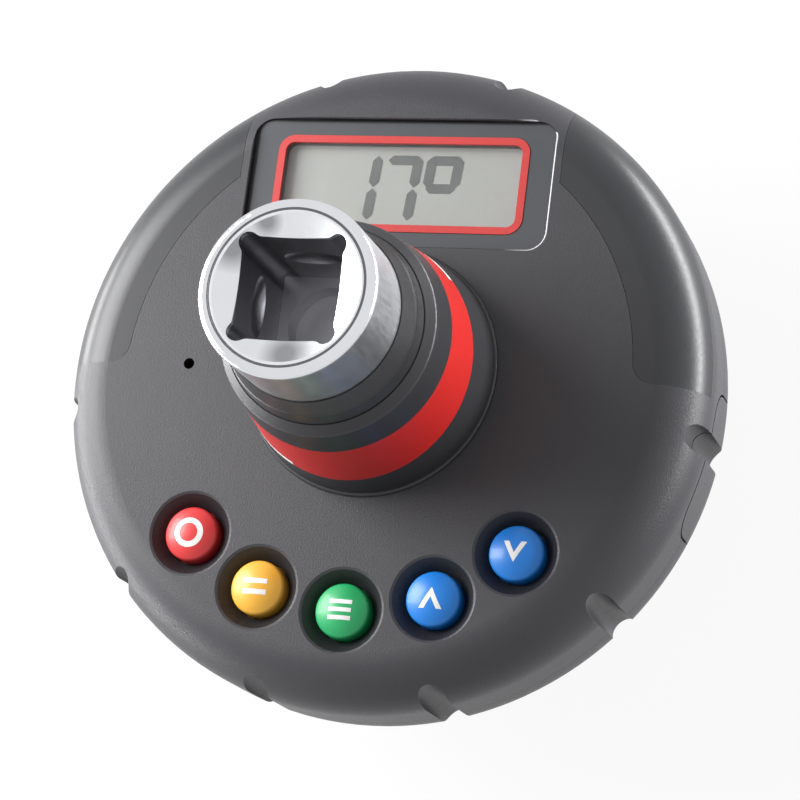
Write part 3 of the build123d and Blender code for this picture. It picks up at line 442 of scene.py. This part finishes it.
def clear_plastic(name, colour, cover, roughness):
    """Clear moulded plastic that shows what lies under it."""
    material, tree, shader, place = new_material(name)
    haze = noise(tree, place, HAZE_SCALE, detail=3.0, roughness=0.5)
    tint = blend_colours(tree, spread(tree, haze, 0.0, 1.0), colour, scaled(colour, 0.9))
    tree.links.new(tint, shader.inputs["Base Color"])
    tree.links.new(spread(tree, haze, roughness, roughness + 0.06), shader.inputs["Roughness"])
    tree.links.new(spread(tree, haze, cover, cover + 0.03), shader.inputs["Alpha"])
    tree.links.new(bumps(tree, [(haze, 0.004 * MM)]), shader.inputs["Normal"])
    return material


def dress(material, *names):
    """Gives CAD nodes a material."""
    for name in names:
        node = frame["nodes"][name]
        node.data.materials.clear()
        node.data.materials.append(material)


def piece(name, shape, body, material):
    """Makes an object of a bmesh, which rides on a body."""
    bmesh.ops.recalc_face_normals(shape, faces=shape.faces)
    mesh = bpy.data.meshes.new(name)
    shape.to_mesh(mesh)
    shape.free()
    made = bpy.data.objects.new(name, mesh)
    bpy.context.scene.collection.objects.link(made)
    mesh.materials.append(material)
    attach(made, body)
    return made


def painted(material, mask_of, colour):
    """Blends a colour into a material where a mask over the object's own coordinates is one."""
    tree = material.node_tree
    shader = next(node for node in tree.nodes if node.type == "BSDF_PRINCIPLED")
    plain = shader.inputs["Base Color"].links[0].from_socket
    axes = tree.nodes.new("ShaderNodeSeparateXYZ")
    tree.links.new(tree.nodes.new("ShaderNodeTexCoord").outputs["Object"], axes.inputs[0])
    mask = mask_of(tree, *axes.outputs)
    tree.links.new(blend_colours(tree, mask, plain, colour), shader.inputs["Base Color"])


def seam_mask(tree, x, y, z):
    """Line where the two shells meet at the rim."""
    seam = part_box("top_housing")[0].z
    half = bpy.context.scene.finish_sizes.seam_width / 2
    return within(tree, z, seam - half, seam + half)


def hollow_shade_mask(tree, x, y, z):
    """Painted shade in the insides of the wells and of the display's recess."""
    sizes = bpy.context.scene.finish_sizes
    low = under(tree, z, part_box("top_housing")[1].z - sizes.shade_depth)
    return product(tree, low, under(tree, flat_distance(tree, x, y), sizes.face_radius))


def lip_highlight_mask(tree, x, y, z):
    """Painted highlight along the right edge of the display's recess, round its corners too."""
    sizes = bpy.context.scene.finish_sizes
    rise = worked(tree, "ABSOLUTE", worked(tree, "SUBTRACT", y, sizes.recess_middle))
    past = [
        worked(tree, "MAXIMUM", worked(tree, "SUBTRACT", value, limit), 0.0)
        for value, limit in ((x, sizes.recess_core_width), (rise, sizes.recess_core_height))
    ]
    away = flat_distance(tree, *past)
    corner = sizes.recess_corner
    ring = within(tree, away, corner - sizes.lip_inset, corner + sizes.lip_width)
    right = spread(tree, x, 0.0, 1.0, sizes.lip_start, sizes.lip_full)
    return product(tree, ring, right, over(tree, z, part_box("top_housing")[1].z - sizes.lip_depth))


def bezel_mask(tree, x, y, z):
    """Left and upper edge of the display's plate, which lie in the recess's shade."""
    sizes = bpy.context.scene.finish_sizes
    blur = sizes.bezel_blur
    left = spread(tree, x, 1.0, 0.0, -sizes.bezel_left - blur, -sizes.bezel_left + blur)
    top = spread(tree, y, 0.0, 1.0, sizes.bezel_top - blur, sizes.bezel_top + blur)
    return worked(tree, "MAXIMUM", left, top)


def socket_masks(tree, axes):
    """Radius on the shaft, and the places where its finish changes and its painted shade and highlight go,
    in, round and outside the socket.
    """
    sizes = bpy.context.scene.socket_sizes
    height = axes.outputs[2]
    across = [worked(tree, "ABSOLUTE", axes.outputs[index]) for index in (0, 1)]
    wide = worked(tree, "MAXIMUM", *across)
    narrow = worked(tree, "MINIMUM", *across)
    radius = flat_distance(tree, *across)
    deep = within(tree, height, sizes.satin_start, sizes.mouth_height)
    hollow = product(tree, under(tree, radius, sizes.inner_reach), deep)
    wall = product(tree, hollow, over(tree, wide, sizes.wall_start))
    slot = product(tree, over(tree, wide, sizes.square_side), under(tree, narrow, sizes.groove_reach))
    groove = product(tree, hollow, slot, within(tree, height, sizes.groove_low, sizes.groove_high))
    face = over(tree, height, sizes.mouth_height)
    half = sizes.line_width / 2
    line = product(tree, face, within(tree, radius, sizes.line_radius - half, sizes.line_radius + half))
    turned = product(tree, face, under(tree, radius, sizes.line_radius))
    side = over(tree, radius, sizes.side_radius)
    return radius, hollow, wall, groove, line, turned, side


def with_dark_reflections(tree, axes, cone, colour):
    """Colour of the countersink with its painted dark reflections."""
    for x, y, reach in DARK_REFLECTIONS:
        aside = worked(tree, "SUBTRACT", axes.outputs[0], x * MM)
        along = worked(tree, "SUBTRACT", axes.outputs[1], y * MM)
        away = flat_distance(tree, aside, along)
        patch = product(tree, cone, spread(tree, away, 0.75, 0.0, reach * 0.3 * MM, reach * MM))
        colour = blend_colours(tree, patch, colour, colours().dark_reflection)
    return colour


def drive_chrome(colour):
    """Chrome of the drive shaft: polished outside, dark and satin inside the female square, with painted
    shade, a painted highlight and painted dark reflections.
    """
    material, tree, shader, place = new_material("drive_chrome")
    sizes = bpy.context.scene.socket_sizes
    settings = colours()
    axes = tree.nodes.new("ShaderNodeSeparateXYZ")
    tree.links.new(place, axes.inputs[0])
    radius, hollow, wall, groove, line, turned, side = socket_masks(tree, axes)
    cloud = spread(tree, noise(tree, place, TARNISH_SCALE, detail=4.0, roughness=0.6), 0.0, 1.0)
    cone = product(tree, turned, under(tree, axes.outputs[2], sizes.rim_height))
    shell = with_dark_reflections(tree, axes, cone, blend_colours(tree, cloud, colour, scaled(colour, 0.94)))
    satin = blend_colours(tree, cloud, settings.socket, settings.socket_cloud)
    # Painted shade on the socket's walls.
    dark = blend_colours(tree, cloud, settings.wall, settings.wall_cloud)
    # Painted shade on the front of the chrome side.
    front = spread(
        tree, axes.outputs[1], low=1.0, high=0.0, start=-sizes.front_shade_end, end=-sizes.front_shade_start
    )
    zones = (
        (hollow, satin),
        (wall, dark),
        # Painted highlight in the ball groove.
        (groove, settings.groove),
        # Painted shade line on the top face.
        (line, settings.rim_shade_line),
        (product(tree, side, front), scaled(colour, 0.6)),
    )
    for mask, cover in zones:
        shell = blend_colours(tree, mask, shell, cover)
    tree.links.new(shell, shader.inputs["Base Color"])
    shader.inputs["Metallic"].default_value = 1.0
    scratch = noise(tree, place, SCRATCH_SCALE, detail=5.0, roughness=0.65, stretch=(1, 1, 0.2))
    shine = spread(tree, scratch, 0.05, 0.12)
    for mask, rise in ((hollow, 0.28), (turned, 0.12), (side, 0.3)):
        shine = worked(tree, "ADD", shine, product(tree, mask, rise))
    tree.links.new(shine, shader.inputs["Roughness"])
    rings = tree.nodes.new("ShaderNodeCombineXYZ")
    tree.links.new(radius, rings.inputs[0])
    ring_marks = noise(tree, rings.outputs[0], TURNING_SCALE, detail=2.0, roughness=0.6)
    layers = [(scratch, 0.0006 * MM), (product(tree, ring_marks, turned), 0.006 * MM)]
    tree.links.new(bumps(tree, layers), shader.inputs["Normal"])
    return material


class TESTER_OT_metal(bpy.types.Operator):
    """Finishes the drive shaft, the ball, the springs, the pins and the screws."""

    bl_idname = "tester.metal"
    bl_label = "Metal parts"

    def execute(self, context):
        chrome = metal(
            "polished_chrome",
            colours().chrome,
            roughness=0.07,
            scratch=0.6,
            depth=0.0006,
            stretch=(1, 1, 0.2),
            gloss_spread=0.03,
            tarnish=0.05,
        )
        ground = metal(
            "ground_steel",
            tone(176, 177, 180),
            roughness=0.28,
            scratch=0.3,
            depth=0.004,
            stretch=(1, 1, 6),
            gloss_spread=0.08,
        )
        plated = metal(
            "plated_steel",
            tone(168, 170, 176),
            roughness=0.22,
            scratch=0.4,
            depth=0.003,
            gloss_spread=0.07,
        )
        dark = metal(
            "oiled_spring_steel",
            tone(96, 97, 100),
            roughness=0.34,
            scratch=0.4,
            depth=0.004,
            stretch=(1, 1, 4),
            gloss_spread=0.08,
        )
        dress(drive_chrome(colours().chrome), "torque_shaft")
        dress(chrome, "detent_ball")
        dress(ground, "locating_pins")
        dress(dark, "retaining_ring")
        dress(plated, "board_screws", "housing_screws", "battery_contacts", "switch_bases")
        dress(plated, "detent_spring", "inner_cell_spring", "outer_cell_spring")
        return {"FINISHED"}


class TESTER_OT_housing(bpy.types.Operator):
    """Finishes the two shells, the battery door and the tray."""

    bl_idname = "tester.housing"
    bl_label = "Housing"

    def execute(self, context):
        settings = colours()
        plain = moulded(
            "textured_plastic",
            settings.housing,
            roughness=0.44,
            grain=0.24,
            depth=0.04,
            mottle=0.05,
            wave=0.012,
            sheen=0.4,
        )
        dress(plain, "battery_door", "battery_tray")
        shell = plain.copy()
        shell.name = "textured_housing"
        painted(shell, seam_mask, scaled(settings.housing, 0.2))
        # Painted shade: the insides of the wells and of the display's recess are darkened.
        painted(shell, hollow_shade_mask, scaled(settings.housing, 0.4))
        # Painted highlight on the right edge of the display's recess.
        painted(shell, lip_highlight_mask, settings.recess_lip_highlight)
        dress(shell, "top_housing", "bottom_housing")
        return {"FINISHED"}


class TESTER_OT_windows(bpy.types.Operator):
    """Finishes the light windows in the rim."""

    bl_idname = "tester.windows"
    bl_label = "Light windows"

    def execute(self, context):
        smoked = moulded(
            "smoked_window",
            colours().window,
            roughness=0.34,
            grain=0.4,
            depth=0.01,
            mottle=0.04,
            gloss_spread=0.04,
            sheen=0.42,
        )
        dress(smoked, "light_window_left", "light_window_right")
        return {"FINISHED"}


class TESTER_OT_neck(bpy.types.Operator):
    """Finishes the collar, its band, the seal and what they stand on."""

    bl_idname = "tester.neck"
    bl_label = "Neck"

    def execute(self, context):
        settings = colours()
        plastic = moulded(
            "collar_plastic",
            settings.collar,
            roughness=0.36,
            grain=0.3,
            depth=0.01,
            mottle=0.05,
            gloss_spread=0.04,
            sheen=0.4,
        )
        dress(plastic, "neck_collar", "collar_nut")
        band_plastic = moulded(
            "band_plastic",
            settings.band,
            roughness=0.34,
            grain=0.5,
            depth=0.001,
            mottle=0.01,
            coat=0.1,
            gloss_spread=0.02,
        )
        dress(band_plastic, "neck_band")
        trim_plastic = moulded(
            "trim_plastic",
            settings.trim,
            roughness=0.34,
            grain=0.5,
            depth=0.006,
            mottle=0.02,
            coat=0.1,
        )
        dress(trim_plastic, "band_trim")
        seal_rubber = moulded(
            "seal_rubber",
            settings.seal,
            roughness=0.36,
            grain=0.6,
            depth=0.005,
            mottle=0.1,
            gloss_spread=0.05,
        )
        dress(seal_rubber, "neck_seal")
        bearing_plastic = moulded(
            "bearing_plastic", tone(52, 52, 55), roughness=0.42, grain=0.4, depth=0.01, mottle=0.08
        )
        dress(bearing_plastic, "upper_bush")
        gasket_rubber = moulded(
            "gasket_rubber", tone(26, 26, 28), roughness=0.62, grain=0.4, depth=0.03, mottle=0.15
        )
        dress(gasket_rubber, "flange_gasket")
        return {"FINISHED"}


def segment(shape, centre, half_length, half_width, upright):
    """Adds one pointed display segment to a bmesh, flat in XY."""
    made = bmesh.ops.create_grid(shape, x_segments=3, y_segments=2, size=1.0)["verts"]
    for vert in made:
        at_tip = abs(vert.co.x) > 0.9
        reach = half_length if at_tip else half_length - half_width
        side = 0.0 if at_tip else vert.co.y * half_width
        step = math.copysign(reach, vert.co.x)
        vert.co = Vector((side, step, 0)) if upright else Vector((step, side, 0))
        vert.co += centre
    bmesh.ops.remove_doubles(shape, verts=made, dist=WELD)


def digits(sizes):
    """Segments of the shown digits, flat in XY round the middle of the panel."""
    shape = bmesh.new()
    half_width = sizes.segment_width / 2
    rise = sizes.digit_height / 4
    top = sizes.digit_height / 2 - half_width
    stem_half = rise - sizes.digit_gap / 2
    bar_half = sizes.digit_width / 2 + half_width - sizes.digit_gap
    for index, letters in enumerate(SHOWN_SEGMENTS):
        right = -sizes.first_stem + index * sizes.digit_pitch
        left = right - sizes.digit_width
        middle = (left + right) / 2
        places = {
            "a": (middle, top, bar_half, False),
            "b": (right, rise, stem_half, True),
            "c": (right, -rise, stem_half, True),
            "f": (left, rise, stem_half, True),
            "g": (middle, 0, bar_half - sizes.digit_gap, False),
        }
        for letter in letters:
            x, y, reach, upright = places[letter]
            segment(shape, Vector((x, y, 0)), reach, half_width, upright)
    return shape


class TESTER_OT_display(bpy.types.Operator):
    """Finishes the display and makes its digits."""

    bl_idname = "tester.display"
    bl_label = "Display"

    def execute(self, context):
        settings = colours()
        sizes = context.scene.display_sizes
        bezel = moulded(
            "bezel_plastic",
            settings.bezel,
            roughness=0.42,
            grain=0.4,
            depth=0.012,
            mottle=0.04,
            gloss_spread=0.05,
            sheen=0.4,
        )
        painted(bezel, bezel_mask, scaled(settings.bezel, 0.16))
        dress(bezel, "display_plate")
        frame_plastic = moulded(
            "frame_plastic",
            settings.frame,
            roughness=0.36,
            grain=0.5,
            depth=0.006,
            mottle=0.012,
            coat=0.1,
        )
        dress(frame_plastic, "display_frame")
        display_panel = moulded(
            "display_panel", settings.panel, roughness=0.5, grain=0.2, depth=0.002, mottle=0.02
        )
        dress(display_panel, "lcd_glass")
        lens = clear_plastic("clear_lens", tone(236, 240, 240), cover=0.05, roughness=0.08)
        dress(lens, "display_lens")
        light_guide = moulded(
            "light_guide",
            tone(226, 228, 226),
            roughness=0.3,
            grain=0.4,
            depth=0.004,
            mottle=0.03,
            coat=0.2,
        )
        dress(light_guide, "lcd_light_guide")
        contact_rubber = moulded(
            "contact_rubber", tone(64, 64, 68), roughness=0.6, grain=0.2, depth=0.02, mottle=0.2
        )
        dress(contact_rubber, "lcd_contact_strips")
        shape = digits(sizes)
        for vert in shape.verts:
            vert.co.x += vert.co.y * sizes.slant
            vert.co.y += sizes.middle_line
        bmesh.ops.solidify(shape, geom=shape.faces[:], thickness=sizes.segment_thickness)
        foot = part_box("lcd_glass")[1].z + sizes.segment_lift
        rise = foot - min(vert.co.z for vert in shape.verts)
        bmesh.ops.translate(shape, verts=shape.verts, vec=(0, 0, rise))
        ink = moulded(
            "segment_ink", settings.digit, roughness=0.5, grain=0.4, depth=0.002, mottle=0.05
        )
        piece("display_digits", shape, "tester", ink)
        return {"FINISHED"}


def button_centre(index, radius):
    """Middle of a button on its arc."""
    angle = FRONT + (index - MIDDLE_BUTTON) * BUTTON_STEP
    return Vector((math.cos(angle), math.sin(angle), 0)) * radius


def bar(shape, half_length, width, height):
    """Adds a printed bar at a height over the mark's middle."""
    made = bmesh.ops.create_grid(shape, x_segments=12, y_segments=2, size=1.0)["verts"]
    for vert in made:
        vert.co = Vector((vert.co.x * half_length, vert.co.y * width / 2 + height, 0))


def arrow(shape, sizes, way):
    """Adds an arrow of two legs with level feet, pointing up where way is 1 and down where it is -1."""
    made = bmesh.ops.create_grid(shape, x_segments=12, y_segments=2, size=1.0)["verts"]
    foot_height = -sizes.arrow_height / 2
    for vert in made:
        inner = (1 - vert.co.y) / 2
        out = abs(vert.co.x)
        peak = sizes.arrow_height / 2 - inner * sizes.arrow_drop
        x = math.copysign(out * (sizes.arrow_reach - inner * sizes.arrow_foot), vert.co.x)
        vert.co = Vector((x, way * (peak + out * (foot_height - peak)), 0))


def ring(shape, radius, width):
    """Adds a printed ring."""
    ends = [
        bmesh.ops.create_vert(shape, co=(radius + side * width / 2, 0, 0))["vert"][0] for side in (-1, 1)
    ]
    line = shape.edges.new(ends)
    bmesh.ops.spin(
        shape,
        geom=[*ends, line],
        axis=(0, 0, 1),
        cent=(0, 0, 0),
        angle=2 * math.pi,
        steps=40,
        use_merge=True,
    )


def printed_mark(body, sizes):
    """Flat sign for one button: a ring, two bars, three bars, and the two arrows."""
    shape = bmesh.new()
    if body == "red_key":
        ring(shape, sizes.ring_radius, sizes.ring_width)
    elif body == "amber_key":
        for row in (1, -1):
            bar(shape, sizes.pair_reach, sizes.pair_width, row * sizes.pair_step)
    elif body == "green_key":
        for row in (-1, 0, 1):
            bar(shape, sizes.triple_reach, sizes.triple_width, row * sizes.triple_step)
    else:
        arrow(shape, sizes, 1 if body == "blue_left_key" else -1)
    bmesh.ops.remove_doubles(shape, verts=shape.verts, dist=WELD)
    return shape


def on_crown(mark, centre, sizes):
    """Point of a flat mark laid on the dome of a button."""
    drop = sizes.crown_radius - math.sqrt(sizes.crown_radius**2 - mark.x**2 - mark.y**2)
    return centre + Vector((mark.x, mark.y, sizes.crown_top - drop + sizes.print_lift))


class TESTER_OT_buttons(bpy.types.Operator):
    """Finishes the buttons and prints their marks."""

    bl_idname = "tester.buttons"
    bl_label = "Buttons"

    def execute(self, context):
        settings = colours()
        sizes = context.scene.mark_sizes
        paints = (
            ("red", settings.red_button, ("red_button",)),
            ("amber", settings.amber_button, ("amber_button",)),
            ("green", settings.green_button, ("green_button",)),
            ("blue", settings.blue_button, ("blue_left_button", "blue_right_button")),
        )
        for name, colour, nodes in paints:
            gloss = moulded(
                name + "_gloss",
                colour,
                roughness=0.4,
                grain=0.6,
                depth=0.002,
                mottle=0.02,
                coat=0.12,
                gloss_spread=0.03,
            )
            dress(gloss, *nodes)
        plunger = moulded(
            "plunger_plastic", tone(30, 30, 32), roughness=0.4, grain=0.3, depth=0.01, mottle=0.1
        )
        dress(plunger, *[body.replace("_key", "_plunger") for body in BUTTON_BODIES])
        ink = moulded("mark_ink", settings.mark, roughness=0.4, grain=0.5, depth=0.004, mottle=0.02)
        for index, body in enumerate(BUTTON_BODIES):
            shape = printed_mark(body, sizes)
            centre = button_centre(index, sizes.button_circle)
            for vert in shape.verts:
                vert.co = on_crown(vert.co, centre, sizes)
            piece(body.replace("_key", "_mark"), shape, body, ink)
        return {"FINISHED"}


class TESTER_OT_inside(bpy.types.Operator):
    """Finishes the board, its chips, the cells and the gauges."""

    bl_idname = "tester.inside"
    bl_label = "Inside"

    def execute(self, context):
        board_laminate = moulded(
            "board_laminate",
            tone(24, 92, 56),
            roughness=0.34,
            grain=0.5,
            depth=0.01,
            mottle=0.12,
            coat=0.3,
        )
        dress(board_laminate, "main_board")
        chips = ("processor_chip", "amplifier_chip", "gyro_chip", "buzzer")
        chip_resin = moulded(
            "chip_resin", tone(34, 34, 36), roughness=0.5, grain=0.2, depth=0.01, mottle=0.1
        )
        dress(chip_resin, *chips)
        lamp_resin = moulded(
            "lamp_resin",
            tone(236, 232, 210),
            roughness=0.25,
            grain=0.4,
            depth=0.004,
            mottle=0.03,
            coat=0.3,
        )
        dress(lamp_resin, "signal_leds")
        foil = moulded(
            "gauge_film",
            tone(190, 134, 58),
            roughness=0.3,
            grain=0.3,
            depth=0.01,
            mottle=0.15,
            coat=0.3,
        )
        dress(foil, "strain_gauges", "gauge_flex")
        cell_sleeve = metal(
            "cell_sleeve", tone(182, 164, 120), roughness=0.3, scratch=0.6, depth=0.003
        )
        dress(cell_sleeve, "inner_cell", "outer_cell")
        return {"FINISHED"}


def plain_rays(tree, rays):
    """One where a ray comes from the camera, from a gloss or through clear plastic."""
    seen = worked(tree, "MAXIMUM", rays.outputs["Is Camera Ray"], rays.outputs["Is Glossy Ray"])
    return worked(tree, "MAXIMUM", seen, rays.outputs["Is Transmission Ray"])


def softbox(name, place, target, size, power):
    """Adds a rectangular lamp that faces a point."""
    lamp = bpy.data.lights.new(name, "AREA")
    lamp.shape = "RECTANGLE"
    lamp.size, lamp.size_y = size
    lamp.energy = power
    stand = bpy.data.objects.new(name, lamp)
    stand.location = place
    stand.rotation_euler = (Vector(target) - Vector(place)).to_track_quat("-Z", "Y").to_euler()
    bpy.context.scene.collection.objects.link(stand)


def set_camera(scene, studio):
    """Adds the camera."""
    view = bpy.data.cameras.new("camera")
    view.sensor_width = 36
    view.lens = studio.lens
    view.clip_start = 0.01
    camera = bpy.data.objects.new("camera", view)
    camera.location = studio.camera_place
    camera.rotation_euler = studio.camera_turn
    scene.collection.objects.link(camera)
    scene.camera = camera


def light_room(scene, strength):
    """Plain room light, seen as white by the camera and in reflections."""
    world = bpy.data.worlds.new("room")
    scene.world = world
    world.use_nodes = True
    tree = world.node_tree
    tree.nodes.clear()
    rays = tree.nodes.new("ShaderNodeLightPath")
    room = tree.nodes.new("ShaderNodeBackground")
    paper = tree.nodes.new("ShaderNodeBackground")
    for background in (room, paper):
        background.inputs["Color"].default_value = (1, 1, 1, 1)
    room.inputs["Strength"].default_value = strength
    mix = tree.nodes.new("ShaderNodeMixShader")
    output = tree.nodes.new("ShaderNodeOutputWorld")
    tree.links.new(plain_rays(tree, rays), mix.inputs[0])
    tree.links.new(room.outputs[0], mix.inputs[1])
    tree.links.new(paper.outputs[0], mix.inputs[2])
    tree.links.new(mix.outputs[0], output.inputs["Surface"])


def white_card():
    """White material of the floor, partly glowing so that it stays white and keeps the shadow."""
    card = bpy.data.materials.new("white_card")
    tree, output = node_tree(card)
    rays = tree.nodes.new("ShaderNodeLightPath")
    matte = tree.nodes.new("ShaderNodeBsdfDiffuse")
    matte.inputs["Color"].default_value = (FLOOR_WHITE, FLOOR_WHITE, FLOOR_WHITE, 1)
    glow = tree.nodes.new("ShaderNodeEmission")
    mix = tree.nodes.new("ShaderNodeMixShader")
    tree.links.new(product(tree, plain_rays(tree, rays), FLOOR_GLOW), mix.inputs[0])
    tree.links.new(matte.outputs[0], mix.inputs[1])
    tree.links.new(glow.outputs[0], mix.inputs[2])
    tree.links.new(mix.outputs[0], output.inputs["Surface"])
    return card


def lay_floor(scene, size):
    """Adds the floor just under the part."""
    shape = bmesh.new()
    bmesh.ops.create_grid(shape, x_segments=4, y_segments=4, size=size / 2)
    bmesh.ops.translate(shape, verts=shape.verts, vec=(0, 0, -FLOOR_GAP))
    mesh = bpy.data.meshes.new("floor")
    shape.to_mesh(mesh)
    shape.free()
    floor = bpy.data.objects.new("floor", mesh)
    scene.collection.objects.link(floor)
    mesh.materials.append(white_card())


class TESTER_OT_stage(bpy.types.Operator):
    """Sets the camera, the lamps, the room light and the floor."""

    bl_idname = "tester.stage"
    bl_label = "Stage"

    def execute(self, context):
        scene = context.scene
        studio = scene.studio_settings
        set_camera(scene, studio)
        for name, place, target, size, power in LAMPS:
            softbox(name, place, target, size, getattr(studio, power))
        light_room(scene, studio.room_strength)
        lay_floor(scene, studio.floor_size)
        scene.view_settings.view_transform = "Standard"
        return {"FINISHED"}


class TESTER_PT_panel(bpy.types.Panel):
    """Lists the tester's settings and the steps that finish it."""

    bl_label = "Torque Tester"
    bl_idname = "TESTER_PT_panel"
    bl_space_type = "VIEW_3D"
    bl_region_type = "UI"
    bl_category = "Torque Tester"

    def draw(self, context):
        layout = self.layout
        for settings in SETTINGS:
            group = getattr(context.scene, settings)
            for name in group.__annotations__:
                layout.prop(group, name)
        for step in STEPS:
            layout.operator(step.bl_idname)


STEPS = (
    TESTER_OT_metal,
    TESTER_OT_housing,
    TESTER_OT_windows,
    TESTER_OT_neck,
    TESTER_OT_display,
    TESTER_OT_buttons,
    TESTER_OT_inside,
    TESTER_OT_stage,
)
SETTINGS = {
    "tester_colours": TesterColours,
    "finish_sizes": FinishSizes,
    "display_sizes": DisplaySizes,
    "mark_sizes": MarkSizes,
    "socket_sizes": SocketSizes,
    "studio_settings": StudioSettings,
}


def register():
    for name, group in SETTINGS.items():
        bpy.utils.register_class(group)
        setattr(bpy.types.Scene, name, bpy.props.PointerProperty(type=group))
    for step in STEPS:
        bpy.utils.register_class(step)
    bpy.utils.register_class(TESTER_PT_panel)


def unregister():
    bpy.utils.unregister_class(TESTER_PT_panel)
    for step in reversed(STEPS):
        bpy.utils.unregister_class(step)
    for name, group in SETTINGS.items():
        delattr(bpy.types.Scene, name)
        bpy.utils.unregister_class(group)


def main():
    """Registers the add-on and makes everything."""
    register()
    for step in STEPS:
        group, call = step.bl_idname.split(".")
        getattr(getattr(bpy.ops, group), call)()


if __name__ == "__main__":
    main()
